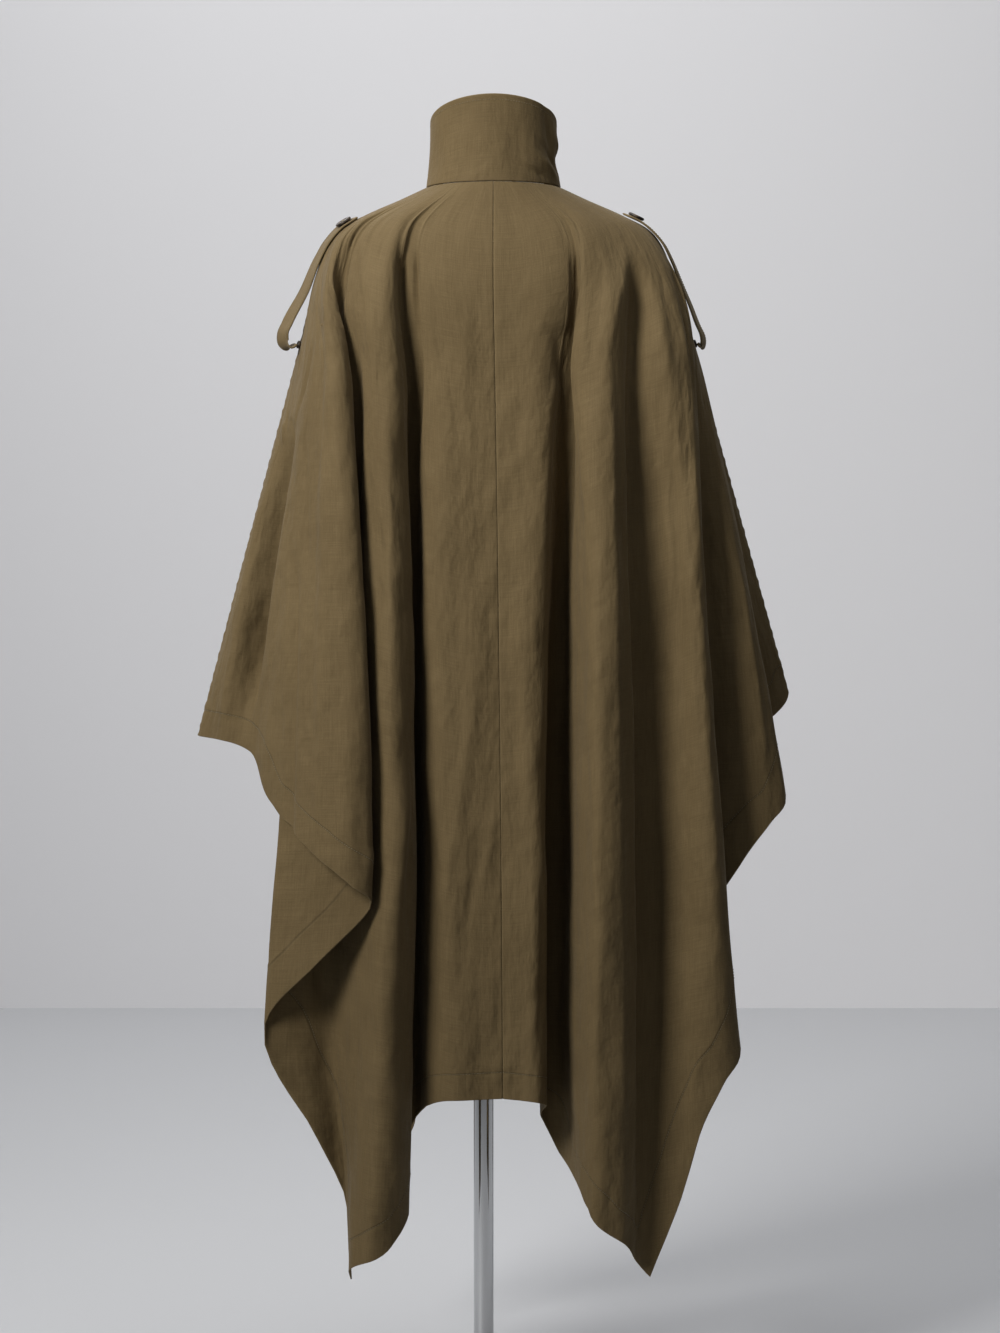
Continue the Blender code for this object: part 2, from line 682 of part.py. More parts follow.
def make_form(cover, wood):
    """The torso of the dress form and the cap on its neck."""
    rings = []
    for ring in form_rings():
        sizes = [size * MM for size in ring[1:]]
        rings.append(ellipse_ring(*sizes, ring.height * MM, FORM_COLUMNS, COAT_X))
    make_lathe("form_torso", rings, FORM_COLUMNS, cover)
    neck = FORM_NECK[0]
    floor = neck.height * MM + TOUCH_GAP
    cap = []
    for share, level in ((0.92, 0.0), (1.0, 0.2), (1.0, 0.7), (0.9, 1.0)):
        sizes = [size * MM * share for size in neck[1:]]
        cap.append(ellipse_ring(*sizes, floor + CAP_HEIGHT * level, FORM_COLUMNS, COAT_X))
    make_lathe("form_neck_cap", cap, FORM_COLUMNS, wood)


def make_stand(steel):
    """The pole on its round base, and the ferrule that carries the torso."""
    base = []
    for radius, height in (
        (BASE_RADIUS, 0.0),
        (BASE_RADIUS, BASE_HEIGHT - BASE_BEVEL),
        (BASE_RADIUS - BASE_BEVEL, BASE_HEIGHT),
    ):
        base.append(ellipse_ring(radius, radius, radius, height, 48))
    make_lathe("stand_base", base, 48, steel)
    torso_floor = FORM_BODY[-1].height * MM
    ferrule_top = torso_floor - TOUCH_GAP
    pole_foot = BASE_HEIGHT + TOUCH_GAP
    pole_top = ferrule_top - FERRULE_HEIGHT - TOUCH_GAP
    pole = [ellipse_ring(POLE_RADIUS, POLE_RADIUS, POLE_RADIUS, z, 28) for z in (pole_foot, pole_top)]
    make_lathe("stand_pole", pole, 28, steel)
    ferrule = []
    for radius, level in ((0.8, 0.0), (1.0, 0.15), (1.0, 1.0)):
        size = FERRULE_RADIUS * radius
        height = ferrule_top - FERRULE_HEIGHT * (1.0 - level)
        ferrule.append(ellipse_ring(size, size, size, height, 28))
    make_lathe("stand_ferrule", ferrule, 28, steel)


# ---------------------------------------------------------------- whole model


def clear_scene():
    """Remove every object that is already there."""
    for item in list(bpy.data.objects):
        bpy.data.objects.remove(item, do_unlink=True)


def make_coat(cloth, horn):
    """The coat's sewn pieces and buttons."""
    for side, word in ((1, "left"), (-1, "right")):
        overarm = OVERARM_LINE[side]
        make_quarter("back_" + word, side, 0, overarm, cloth)
        make_quarter("front_" + word, side, overarm, LAST_LINE[side], cloth)
    make_placket(cloth)
    make_collar(cloth)
    make_straps(cloth, horn)


def main():
    clear_scene()
    cloth = make_material("olive_cotton", (0.115, 0.090, 0.045), 0.85)
    horn = make_material("dark_horn", (0.020, 0.016, 0.013), 0.35)
    cover = make_material("form_cover", (0.70, 0.66, 0.58), 0.9)
    wood = make_material("neck_cap_wood", (0.36, 0.22, 0.12), 0.5)
    steel = make_material("brushed_steel", (0.60, 0.60, 0.61), 0.3, 1.0)
    make_coat(cloth, horn)
    make_form(cover, wood)
    make_stand(steel)


main()
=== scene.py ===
"""Looks of a batwing coat on a limbless dress form with a pole stand.

Each piece of cloth is a thin shell on the form of the solid that it replaces: the same fold
lines on a finer grid, with soft creases placed one by one, turned hems and rows of stitches.
Frame: metres, +Z up, the floor at z = 0, the wearer's left at +X and the back at +Y.
A side is 1 for the wearer's left and -1 for the right.
"""
import math
from collections import namedtuple

import bpy
import numpy as np
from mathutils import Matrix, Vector


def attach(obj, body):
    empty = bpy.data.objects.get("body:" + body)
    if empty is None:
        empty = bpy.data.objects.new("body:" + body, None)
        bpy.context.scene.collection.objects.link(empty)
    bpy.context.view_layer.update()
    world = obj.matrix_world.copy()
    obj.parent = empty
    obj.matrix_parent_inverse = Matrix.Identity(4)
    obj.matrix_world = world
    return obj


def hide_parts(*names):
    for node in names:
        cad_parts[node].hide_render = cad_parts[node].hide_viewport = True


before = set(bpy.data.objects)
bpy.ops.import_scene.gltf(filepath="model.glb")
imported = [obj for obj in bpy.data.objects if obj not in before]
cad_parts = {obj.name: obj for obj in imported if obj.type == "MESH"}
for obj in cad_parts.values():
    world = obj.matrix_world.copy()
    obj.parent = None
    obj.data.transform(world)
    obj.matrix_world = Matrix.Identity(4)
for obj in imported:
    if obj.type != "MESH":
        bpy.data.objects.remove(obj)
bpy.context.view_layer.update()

MM = 0.001

# ---------------------------------------------------------------- sizes shared with the solids
SEAM_GAP = 0.3 * MM
COAT_X = -12.5 * MM             # the form and the coat sit this far off the pole's axis
NECK_HEIGHT = 1489 * MM
NECK_FRONT_DROP = 20 * MM
FOLDS_START = 1472 * MM
HIGH, MID, LOW = 1250 * MM, 900 * MM, 450 * MM      # heights that the fold lines are given at
CASCADE_TIP = 160 * MM

COLLAR_WALL = 2.6 * MM
COLLAR_TOP_BACK = 1595 * MM
COLLAR_TOP_SIDE = 1570 * MM     # 6 mm lower than in the solids, as in the photograph
COLLAR_TOP_FRONT = 1564 * MM
COLLAR_TOP_OUT = 78 * MM
COLLAR_TOP_DEEP = 71 * MM
COLLAR_LAP = 24                 # degrees
COLLAR_LAP_OFF = COLLAR_WALL + 0.9 * MM

STRAP_WIDTH = 32 * MM
STRAP_WALL = 2.4 * MM
STRAP_POINT = 13 * MM
BUTTON_RADIUS = 10.5 * MM
BUTTON_HEIGHT = 3.8 * MM
BUTTON_AT = 17 * MM
LOOP_BUTTON_RADIUS = 5.0 * MM
LOOP_BUTTON_HEIGHT = 3.2 * MM
LOOP_BUTTON_SHANK = 0.9 * MM
TOUCH_GAP = 0.3 * MM

POLE_RADIUS = 12.5 * MM
BASE_RADIUS = 150 * MM
BASE_HEIGHT = 12 * MM
FERRULE_RADIUS = 19 * MM
FERRULE_HEIGHT = 28 * MM
CAP_HEIGHT = 16 * MM
FORM_CLEAR = 2.2 * MM

# ---------------------------------------------------------------- sizes of the finer work
FORM_TOUCHES = 1418 * MM        # above this height the coat lies on the form's shoulders
CLOTH = 1.1 * MM                # thickness of one layer of the coat's cotton
HEM_WIDTH = 35 * MM
HEM_EXTRA = 0.9 * MM            # added on the inside by the turned hem
HEM_STITCH_AT = 32 * MM         # from the cut edge to its row of stitches
STITCH_LENGTH = 2.5 * MM
STITCH_PITCH = 3.4 * MM
THREAD = 0.32 * MM              # radius of the sewing thread
QUARTER_COLUMNS = 176
QUARTER_ROWS = 190
DEPTH_HOLD = 40 * MM            # how soon a fold's depth stops changing above HIGH
# Distances from the cut edge, in millimetres, of the grid rows inside the hem.
HEM_ROWS = (0, 0.25, 0.7, 1.5, 4, 8, 13, 18, 23, 27, 29.5, 31, 32, 33, 34.2, 35, 35.8, 37.5, 41)
# Distances from a seam, in millimetres, of the grid columns beside it.
SEAM_COLUMNS = (0, 0.3, 0.8, 1.5, 2.4, 3.6, 5.2)

# ---------------------------------------------------------------- yoke and form, in millimetres
Ring = namedtuple("Ring", "height half_width back front")
YOKE = (
    Ring(1489, 83, 75, 72),
    Ring(1475, 113, 81, 77),
    Ring(1455, 158, 88, 84),
    Ring(1437, 190, 94, 92),
    Ring(1420, 204, 99, 98),
    Ring(1400, 213, 104, 105),
    Ring(1350, 230, 113, 120),
    Ring(1250, 252, 122, 138),
    Ring(1150, 279, 130, 146),
)
FORM_BODY = (
    Ring(1395, 184, 97, 98),
    Ring(1350, 178, 102, 110),
    Ring(1250, 165, 98, 122),
    Ring(1150, 149, 84, 108),
    Ring(1050, 131, 69, 88),
    Ring(960, 148, 73, 90),
    Ring(915, 151, 72, 88),
    Ring(903, 146, 68, 83),
    Ring(900, 138, 62, 77),
)
FORM_NECK = (
    Ring(1530, 55, 55, 53),
    Ring(1505, 57, 57, 55),
    Ring(1490, 66, 63, 61),
)

# ---------------------------------------------------------------- fold lines, in millimetres
# share is where a line leaves the yoke, from the centre (0) to the overarm (1).  out is the
# distance from the centre plane and deep the distance from the shoulder line, at the heights
# HIGH, MID and LOW.  edge is the height at which the cloth is cut along the line.
Fold = namedtuple("Fold", "name share out_high deep_high out_mid deep_mid out_low deep_low edge")

CENTRE_BACK = Fold("centre back", 0, -2, 120, -7, 152, -11, 166, 390)
CENTRE_FRONT = Fold("centre front", 0, 0, 140, 0, 162, 0, 170, 392)
OVERARM_LEFT = Fold("left overarm", 1, 252, 0, 345, 0, 463, 0, 814)
OVERARM_RIGHT = Fold("right overarm", 1, 260, 0, 358, 0, 485, 0, 869)

BACK_LEFT = (
    Fold("panel", 0.165, 52, 122, 51, 158, 53, 170, 388),
    Fold("panel edge", 0.265, 82, 113, 78, 142, 79, 148, 378),
    Fold("valley near side", 0.298, 93, 101, 94, 90, 96, 84, 350),
    Fold("valley far side", 0.326, 103, 101, 111, 92, 113, 86, 300),
    Fold("first crest undercut", 0.345, 108, 113, 94, 150, 95, 158, 243),
    Fold("first crest", 0.41, 130, 131, 119, 184, 119, 196, 209),
    Fold("first flank", 0.506, 150, 124, 149, 160, 157, 172, 186),
    Fold("corner", 0.565, 177, 101, 190, 122, 186, 130, 160),
    Fold("corner turn", 0.585, 183, 96, 206, 112, 196, 121, 260),
    Fold("underlay", 0.603, 188, 94, 222, 110, 224, 134, 350),
    Fold("underlay fold", 0.622, 194, 95, 239, 122, 276, 152, 467),
    Fold("underlay return", 0.655, 189, 106, 190, 153, 216, 184, 554),
    Fold("second crest undercut", 0.70, 178, 118, 150, 178, 148, 215, 627),
    Fold("second crest", 0.753, 187, 125, 171, 195, 172, 235, 654),
    Fold("second flank", 0.82, 206, 110, 214, 168, 226, 205, 694),
    Fold("outer flank", 0.89, 231, 72, 264, 108, 277, 128, 745),
    Fold("overarm valley", 0.935, 241, 44, 288, 68, 305, 84, 798),
    Fold("overarm side", 0.97, 248, 20, 322, 42, 372, 50, 811),
)
BACK_RIGHT = (
    Fold("panel", 0.165, 56, 122, 53, 158, 51, 170, 386),
    Fold("panel edge", 0.26, 78, 113, 66, 148, 62, 156, 380),
    Fold("valley near side", 0.288, 88, 102, 68, 96, 60, 88, 350),
    Fold("valley far side", 0.308, 95, 101, 84, 88, 78, 80, 310),
    Fold("first crest undercut", 0.335, 102, 115, 106, 160, 106, 168, 276),
    Fold("first crest", 0.40, 121, 130, 123, 188, 123, 200, 243),
    Fold("first flank", 0.50, 154, 124, 162, 160, 164, 172, 210),
    Fold("corner", 0.60, 185, 112, 196, 122, 197, 128, 165),
    Fold("corner turn", 0.64, 212, 107, 219, 129, 225, 136, 262),
    Fold("second face", 0.68, 227, 101, 237, 142, 248, 150, 349),
    Fold("second crest", 0.715, 239, 93, 251, 148, 274, 150, 404),
    Fold("second undercut", 0.745, 246, 80, 261, 128, 297, 125, 449),
    Fold("second return", 0.78, 243, 68, 241, 88, 258, 86, 560),
    Fold("third face", 0.84, 251, 56, 285, 86, 306, 82, 660),
    Fold("third crest", 0.89, 256, 46, 315, 82, 350, 75, 710),
    Fold("third undercut", 0.93, 258, 36, 331, 66, 392, 60, 742),
    Fold("third return", 0.965, 256, 20, 313, 36, 345, 35, 810),
)
FRONT = (
    Fold("placket edge", 0.075, 25, 139, 25, 162, 25, 170, 391),
    Fold("panel", 0.165, 56, 136, 55, 160, 54, 170, 390),
    Fold("panel edge", 0.265, 84, 125, 80, 142, 80, 148, 384),
    Fold("valley near side", 0.298, 95, 111, 93, 100, 95, 94, 370),
    Fold("valley far side", 0.324, 105, 111, 111, 102, 113, 96, 342),
    Fold("first crest undercut", 0.345, 110, 121, 97, 150, 98, 154, 300),
    Fold("first crest", 0.41, 131, 139, 119, 184, 118, 190, 255),
    Fold("first flank", 0.50, 155, 130, 152, 166, 152, 176, 215),
    Fold("second valley", 0.57, 174, 116, 178, 130, 174, 140, 190),
    Fold("corner", 0.61, 188, 112, 195, 132, 186, 146, 175),
    Fold("corner turn", 0.64, 200, 108, 212, 140, 205, 158, 265),
    Fold("second crest", 0.69, 214, 99, 231, 146, 240, 158, 400),
    Fold("second undercut", 0.735, 224, 86, 243, 130, 256, 138, 468),
    Fold("second return", 0.78, 221, 72, 224, 94, 230, 96, 570),
    Fold("third face", 0.85, 236, 54, 258, 80, 250, 82, 700),
    Fold("third crest", 0.905, 244, 38, 292, 64, 262, 68, 778),
    Fold("overarm side", 0.96, 249, 18, 318, 36, 330, 40, 803),
)

# Stations down a shoulder strap: height, distance behind the overarm's crest and lift off
# the cloth, in millimetres, and the turn of its face to the back, in degrees.  The right
# strap's lifts are up to 5 mm less than in the solids.
Station = namedtuple("Station", "height behind lift turn")
STRAP_LEFT = (
    Station(1449, 26, 2.3, 12),
    Station(1437, 26, 2.4, 13),
    Station(1420, 25, 2.8, 14),
    Station(1400, 23, 4, 14),
    Station(1360, 19, 10, 13),
    Station(1320, 15, 22, 12),
    Station(1304, 14, 25, 11),
    Station(1293, 13, 21, 11),
    Station(1290, 13, 13, 11),
    Station(1296, 12, 6, 11),
)
STRAP_RIGHT = (
    Station(1455, 12, 2.8, 6),
    Station(1441, 12, 3.1, 6),
    Station(1421, 12, 3.5, 7),
    Station(1400, 12, 4, 8),
    Station(1360, 12, 6, 9),
    Station(1320, 12, 11, 10),
    Station(1304, 12, 14, 10),
    Station(1295, 12, 12.5, 10),
    Station(1291, 12, 9.5, 10),
    Station(1297, 12, 6, 10),
)

# ---------------------------------------------------------------- creases, placed one by one
# A crease runs down the cloth.  Its place counts the fold lines of its side, from the centre
# back round to the centre front, and follows its height at its top, in its middle and at its
# low end.  near and far are its widths towards the centre back and away from it, and rise is
# its height, or its depth where that is negative.  sharp runs from 0 for a soft crease to 1
# for one with a crisp edge.  Heights, widths and rises are in millimetres.
Crease = namedtuple("Crease", "top top_place middle middle_place low low_place near far rise sharp")
BACK_LEFT_CREASES = (
    (1462, 5.3, 1345, 4.45, 1090, 4.0, 15, 7, -15.0, 0),
    (1484, 6.3, 1405, 5.45, 1120, 5.4, 10, 30, 9.0, 0.2),
    (1335, 6.1, 1180, 6.3, 920, 6.6, 9, 9, -3.0, 0),
    (1436, 8.0, 1369, 7.3, 1300, 6.6, 5, 6, -3.0, 0.1),
    (1440, 9.2, 1370, 8.2, 1290, 7.6, 8, 8, 2.0, 0),
    (1436, 12.3, 1370, 11.4, 1275, 11.3, 10, 7, -10.0, 0),
    (1456, 13.0, 1385, 12.6, 1260, 12.8, 10, 14, 4.0, 0),
    (1390, 13.6, 1100, 14.7, 560, 14.7, 15, 12, 6.0, 0),
    (1330, 13.5, 1000, 13.4, 480, 13.3, 8, 17, 6.0, 0.3),
    (1345, 7.9, 1160, 7.5, 700, 7.6, 12, 10, -12.0, 0),
    (1195, 15.6, 1100, 15.35, 990, 15.2, 5, 6, -2.4, 0),
    (1080, 15.7, 870, 15.45, 560, 15.4, 9, 10, -7.0, 0),
    (1300, 15.5, 1238, 15.87, 1195, 16.25, 5, 4, -3.4, 0.3),
    (1302, 15.0, 1280, 14.9, 1252, 14.9, 3, 3.5, 1.6, 0),
    (1208, 16.9, 1187, 16.6, 1166, 16.3, 5, 5, -3.6, 0.4),
    (1203, 17.6, 1188, 17.4, 1170, 17.2, 4.5, 5, 3.0, 0),
    (1205, 16.4, 1040, 16.85, 790, 17.35, 10, 17, -30.0, 0.1),
    (1180, 17.3, 980, 17.8, 700, 18.0, 10, 20, 6.0, 0.2),
    (800, 5.4, 513, 6.2, -250, 6.6, 9, 24, 9.0, 0.6),
    (1350, 0.8, 1200, 0.85, 820, 0.8, 8, 10, -1.6, 0),
    (1312, 1.6, 1270, 1.55, 1225, 1.5, 4, 5, 1.2, 0),
    (790, 0.1, 640, 0.55, 455, 0.95, 7, 6, -2.8, 0.2),
    (900, 0.45, 760, 0.75, 600, 1.3, 7, 8, 1.8, 0),
    (560, 0.35, 500, 0.25, 425, 0.3, 5, 6, 1.6, 0),
    (610, 1.2, 588, 1.08, 560, 1.0, 4, 4, -1.5, 0.4),
    (700, 13.2, 660, 13.6, 610, 14.2, 8, 8, 2.2, 0),
    (640, 9.6, 560, 9.4, 470, 9.3, 7, 9, -2.6, 0),
    (600, 10.1, 540, 9.9, 470, 10.1, 6, 6, 2.0, 0.3),
    (520, 7.2, 380, 7.2, 240, 7.0, 10, 8, -3.0, 0),
    (330, 6.1, 270, 5.8, 215, 5.6, 5, 6, -1.6, 0),
)
BACK_RIGHT_CREASES = (
    (1462, 5.1, 1360, 4.15, 1020, 4.4, 9, 6, -9.0, 0),
    (1484, 6.3, 1390, 5.1, 980, 5.6, 9, 22, 7.0, 0.2),
    (1318, 1.55, 1285, 1.95, 1225, 2.5, 9, 12, -4.5, 0.3),
    (1322, 1.0, 1312, 1.3, 1296, 1.5, 5, 6, -1.6, 0.3),
    (1290, 2.3, 1080, 2.1, 620, 2.0, 16, 18, -5.0, 0),
    (1425, 7.6, 1290, 6.5, -150, 6.9, 22, 10, 7.5, 0.5),
    (1412, 7.7, 985, 7.45, 60, 7.6, 13, 22, -24.0, 0),
    (1420, 8.3, 1300, 8.7, 1080, 9.6, 9, 10, 5.0, 0.1),
    (1410, 12.9, 1323, 11.2, 1170, 11.8, 3.5, 9, -5.5, 0.4),
    (1260, 8.9, 1000, 9.2, 540, 9.4, 5, 6, -2.0, 0),
    (1130, 9.9, 900, 10.2, 560, 10.4, 5, 5, 1.6, 0),
    (1180, 5.9, 1060, 5.85, 900, 5.9, 6, 6, -1.4, 0),
    (700, 5.6, 640, 5.9, 590, 6.2, 4, 5, 1.6, 0.3),
    (960, 0.5, 800, 0.65, 640, 0.5, 8, 8, 1.8, 0),
    (820, 0.2, 760, 0.45, 690, 0.5, 5, 6, -1.4, 0),
    (680, 1.35, 560, 1.7, 430, 1.3, 7, 8, -2.6, 0),
    (560, 0.95, 500, 0.8, 430, 0.95, 5, 6, 1.6, 0),
    (470, 10.6, 430, 10.0, 380, 9.3, 5, 5, 1.4, 0),
    (1100, 14.4, 980, 15.1, 700, 15.1, 7, 4, 3.4, 0.6),
    (1180, 13.2, 1000, 13.6, 760, 13.7, 8, 10, -3.0, 0),
    (330, 6.0, 270, 5.6, 225, 5.3, 5, 5, -1.6, 0),
)
FRONT_LEFT_CREASES = (
    (1462, 28.6, 1400, 30.6, 1270, 32.4, 4, 9, -4.5, 0),
    (1455, 28.2, 1385, 30.0, 1160, 30.3, 9, 4, 2.8, 0.5),
    (1395, 28.2, 1000, 28.2, 120, 28.0, 20, 15, -9.0, 0),
    (1300, 34.6, 1150, 34.9, 800, 34.8, 9, 9, -1.8, 0),
    (760, 35.2, 620, 34.6, 430, 34.3, 7, 7, -2.4, 0),
    (1330, 25.4, 1100, 25.8, 620, 25.6, 10, 12, 3.6, 0),
    (1240, 23.0, 1000, 22.6, 720, 22.4, 9, 12, -4.5, 0),
    (1120, 21.2, 950, 20.8, 760, 20.7, 7, 8, 2.4, 0),
    (700, 30.2, 480, 29.7, -100, 29.5, 9, 13, 4.5, 0.4),
    (560, 26.6, 460, 26.9, 330, 27.2, 8, 8, -2.2, 0),
    (1300, 21.6, 1240, 21.9, 1170, 22.3, 5, 5, -2.0, 0),
)
FRONT_RIGHT_CREASES = (
    (1466, 27.4, 1405, 29.5, 1260, 31.4, 4, 9, -5.0, 0),
    (1458, 27.0, 1380, 29.0, 1190, 29.3, 9, 4, 3.0, 0.5),
    (1380, 27.1, 960, 27.3, 100, 27.1, 18, 16, -10.0, 0),
    (1260, 33.7, 1120, 34.0, 860, 33.9, 8, 9, -1.6, 0),
    (700, 34.2, 560, 33.8, 420, 33.5, 7, 8, -2.6, 0),
    (1310, 24.4, 1080, 24.9, 640, 24.7, 10, 11, 3.2, 0),
    (1220, 21.9, 980, 21.6, 740, 21.5, 9, 11, -4.0, 0),
    (1100, 20.2, 960, 19.8, 780, 19.7, 7, 8, 2.2, 0),
    (740, 29.2, 500, 28.6, -100, 28.5, 9, 13, 5.0, 0.4),
    (590, 25.5, 470, 25.8, 340, 26.1, 8, 8, -2.4, 0),
    (1290, 20.7, 1230, 21.0, 1160, 21.4, 5, 5, -1.8, 0),
)
CREASES = {
    1: [Crease(*row) for row in BACK_LEFT_CREASES + FRONT_LEFT_CREASES],
    -1: [Crease(*row) for row in BACK_RIGHT_CREASES + FRONT_RIGHT_CREASES],
}

# ---------------------------------------------------------------- smooth curves


def smooth_rise(amount):
    """Rise from 0 to 1 with level ends."""
    amount = np.clip(amount, 0.0, 1.0)
    return amount * amount * (3.0 - 2.0 * amount)


def smooth_table(knots, levels, where):
    """Read a table with rising knots, along cubic pieces that never overshoot it."""
    knots = np.asarray(knots, dtype=float)
    levels = np.asarray(levels, dtype=float)
    gaps = np.diff(knots)
    slopes = np.diff(levels) / gaps
    tangents = np.empty_like(levels)
    tangents[0] = slopes[0]
    tangents[-1] = slopes[-1]
    product = slopes[:-1] * slopes[1:]
    total = np.where(product > 0.0, slopes[:-1] + slopes[1:], 1.0)
    tangents[1:-1] = np.where(product > 0.0, 2.0 * product / total, 0.0)
    inside = np.clip(where, knots[0], knots[-1])
    index = np.clip(np.searchsorted(knots, inside, side="right") - 1, 0, len(gaps) - 1)
    gap = gaps[index]
    part = (inside - knots[index]) / gap
    rise = levels[index + 1] - levels[index]
    bend_in = tangents[index] * gap - rise
    bend_out = rise - tangents[index + 1] * gap
    bow = part * (1.0 - part) * (bend_in * (1.0 - part) + bend_out * part)
    below = np.minimum(where - knots[0], 0.0) * tangents[0]
    above = np.maximum(where - knots[-1], 0.0) * tangents[-1]
    return levels[index] + part * rise + bow + below + above


def parabola(high, mid, low, height):
    """The one parabola through the values at HIGH, MID and LOW."""
    first = (mid - high) / (MID - HIGH)
    second = (low - mid) / (LOW - MID)
    bend = (second - first) / (LOW - HIGH)
    return high + (height - HIGH) * (first + bend * (height - MID))


def curve_between(before, start, end, after, part):
    """Points of a centripetal Catmull-Rom curve, part of the way from start to end."""
    def span(first, last):
        return np.maximum(np.sqrt(np.linalg.norm(last - first, axis=-1)), 1e-5)[..., None]

    def mix(first, last, low, high):
        return (first * (high - now) + last * (now - low)) / (high - low)

    t1 = span(before, start)
    t0 = t1 * 0.0
    t2 = t1 + span(start, end)
    t3 = t2 + span(end, after)
    now = t1 + (t2 - t1) * part
    near = mix(mix(before, start, t0, t1), mix(start, end, t1, t2), t0, t2)
    far = mix(mix(start, end, t1, t2), mix(end, after, t2, t3), t1, t3)
    return mix(near, far, t1, t2)


def curve_through(points, count):
    """Evenly numbered points of a smooth curve through a short list of points."""
    points = np.asarray(points, dtype=float)
    padded = np.vstack([2 * points[0] - points[1], points, 2 * points[-1] - points[-2]])
    result = []
    for step in range(count):
        place = step * (len(points) - 1) / (count - 1)
        index = min(int(place), len(points) - 2)
        result.append(curve_between(*padded[index:index + 4], place - index))
    return np.array(result)


def run_along(points):
    """Distance travelled along a line of points."""
    steps = np.linalg.norm(np.diff(points, axis=0), axis=-1)
    return np.concatenate([[0.0], np.cumsum(steps)])


def unit(vectors):
    """Vectors at length 1."""
    return vectors / np.maximum(np.linalg.norm(vectors, axis=-1, keepdims=True), 1e-12)


# ---------------------------------------------------------------- the coat's surface
Line = namedtuple("Line", "fold face side spread")


def raised_edge(fold, reach):
    """The fold with its cut edge moved away from the cascade's tip in proportion."""
    tip = CASCADE_TIP / MM
    return fold._replace(edge=tip + (fold.edge - tip) * reach)


def side_lines(side, back, overarm):
    """All fold lines of one side, from centre back to centre front."""
    spread = overarm.out_mid / OVERARM_LEFT.out_mid
    tip = CASCADE_TIP / MM
    reach = (overarm.edge - tip) / (OVERARM_LEFT.edge - tip)
    lines = [Line(CENTRE_BACK, 1, side, 1.0)]
    lines += [Line(fold, 1, side, 1.0) for fold in back]
    lines.append(Line(overarm, 1, side, 1.0))
    lines += [Line(raised_edge(fold, reach), -1, side, spread) for fold in reversed(FRONT)]
    lines.append(Line(CENTRE_FRONT, -1, side, 1.0))
    return lines


LINES = {
    1: side_lines(1, BACK_LEFT, OVERARM_LEFT),
    -1: side_lines(-1, BACK_RIGHT, OVERARM_RIGHT),
}
LAST_LINE = {side: len(LINES[side]) - 1 for side in LINES}
OVERARM_LINE = {1: len(BACK_LEFT) + 1, -1: len(BACK_RIGHT) + 1}


def loop_at(rings, height):
    """Half width, back depth and front depth of a stack of rings at a height."""
    rings = sorted(rings)
    knots = [ring.height * MM for ring in rings]
    return [smooth_table(knots, [ring[field] * MM for ring in rings], height) for field in (1, 2, 3)]


def line_point(line, height):
    """Plan points of a fold line at the given heights."""
    fold = line.fold
    half_width, back, front = loop_at(YOKE, height)
    angle = math.radians(90.0 * fold.share)
    yoke_out = half_width * math.sin(angle)
    yoke_deep = (back if line.face > 0 else front) * math.cos(angle)
    out = parabola(fold.out_high, fold.out_mid, fold.out_low, height) * MM * line.spread
    above = np.maximum(height - HIGH, 0.0)
    held = height - above + above / (1.0 + above / DEPTH_HOLD)
    deep = parabola(fold.deep_high, fold.deep_mid, fold.deep_low, held) * MM
    grown = smooth_rise((FOLDS_START - height) / (FOLDS_START - HIGH))
    out = yoke_out + (out - yoke_out) * grown
    deep = yoke_deep + (deep - yoke_deep) * grown
    sign = 1 if fold is CENTRE_BACK else line.side
    return np.stack([out * sign, deep * line.face], axis=-1)


def plan_point(side, place, height):
    """Plan points at a place, which counts the fold lines of a side from the centre back."""
    last = LAST_LINE[side]
    index = min(int(place), last - 1)

    def control(number):
        if number < 0:
            return line_point(LINES[-side][-number], height)
        if number > last:
            return line_point(LINES[-side][LAST_LINE[-side] - (number - last)], height)
        return line_point(LINES[side][number], height)

    return curve_between(*[control(index + step) for step in (-1, 0, 1, 2)], place - index)


def edge_height(side, place):
    """Height of the cut edge: a smooth line, broken only at the cascades' corners."""
    lines = LINES[side]
    corners = [number for number, line in enumerate(lines) if line.fold.name == "corner"]
    stops = sorted({0, *corners, OVERARM_LINE[side], LAST_LINE[side]})
    for first, last in zip(stops, stops[1:]):
        if place <= last:
            places = range(first, last + 1)
            return float(smooth_table(places, [lines[n].fold.edge * MM for n in places], place))
    return lines[-1].fold.edge * MM


def neck_height(side, place):
    """Height of the neck seam: level behind and at the sides, dipping at the front."""
    if place <= OVERARM_LINE[side]:
        return NECK_HEIGHT
    shares = [line.fold.share for line in LINES[side]]
    share = np.interp(place, range(len(shares)), shares)
    return NECK_HEIGHT - NECK_FRONT_DROP * float(smooth_rise(1.0 - share))


# ---------------------------------------------------------------- fine grids of the cloth
COLUMN_SAMPLES = 420            # points down a column before its rows are spaced out
NECK_CROWDING = 1.7             # how much closer these points stand near the neck (1: evenly)
PLACE_SAMPLES = 20              # points from one fold line to the next, to measure the cloth
STEEPEST = 2.6                  # most that a slanting edge may widen the hem's rows
SLOPE_BLUR = 9                  # columns over which that widening is evened out
EDGE_REACH = 46                 # columns to each side that are searched for the nearest edge


def wrapped(side, place):
    """The same place of the coat, counted from the other side past either centre."""
    if place < 0:
        return -side, -place
    if place > LAST_LINE[side]:
        return -side, LAST_LINE[-side] - (place - LAST_LINE[side])
    return side, place


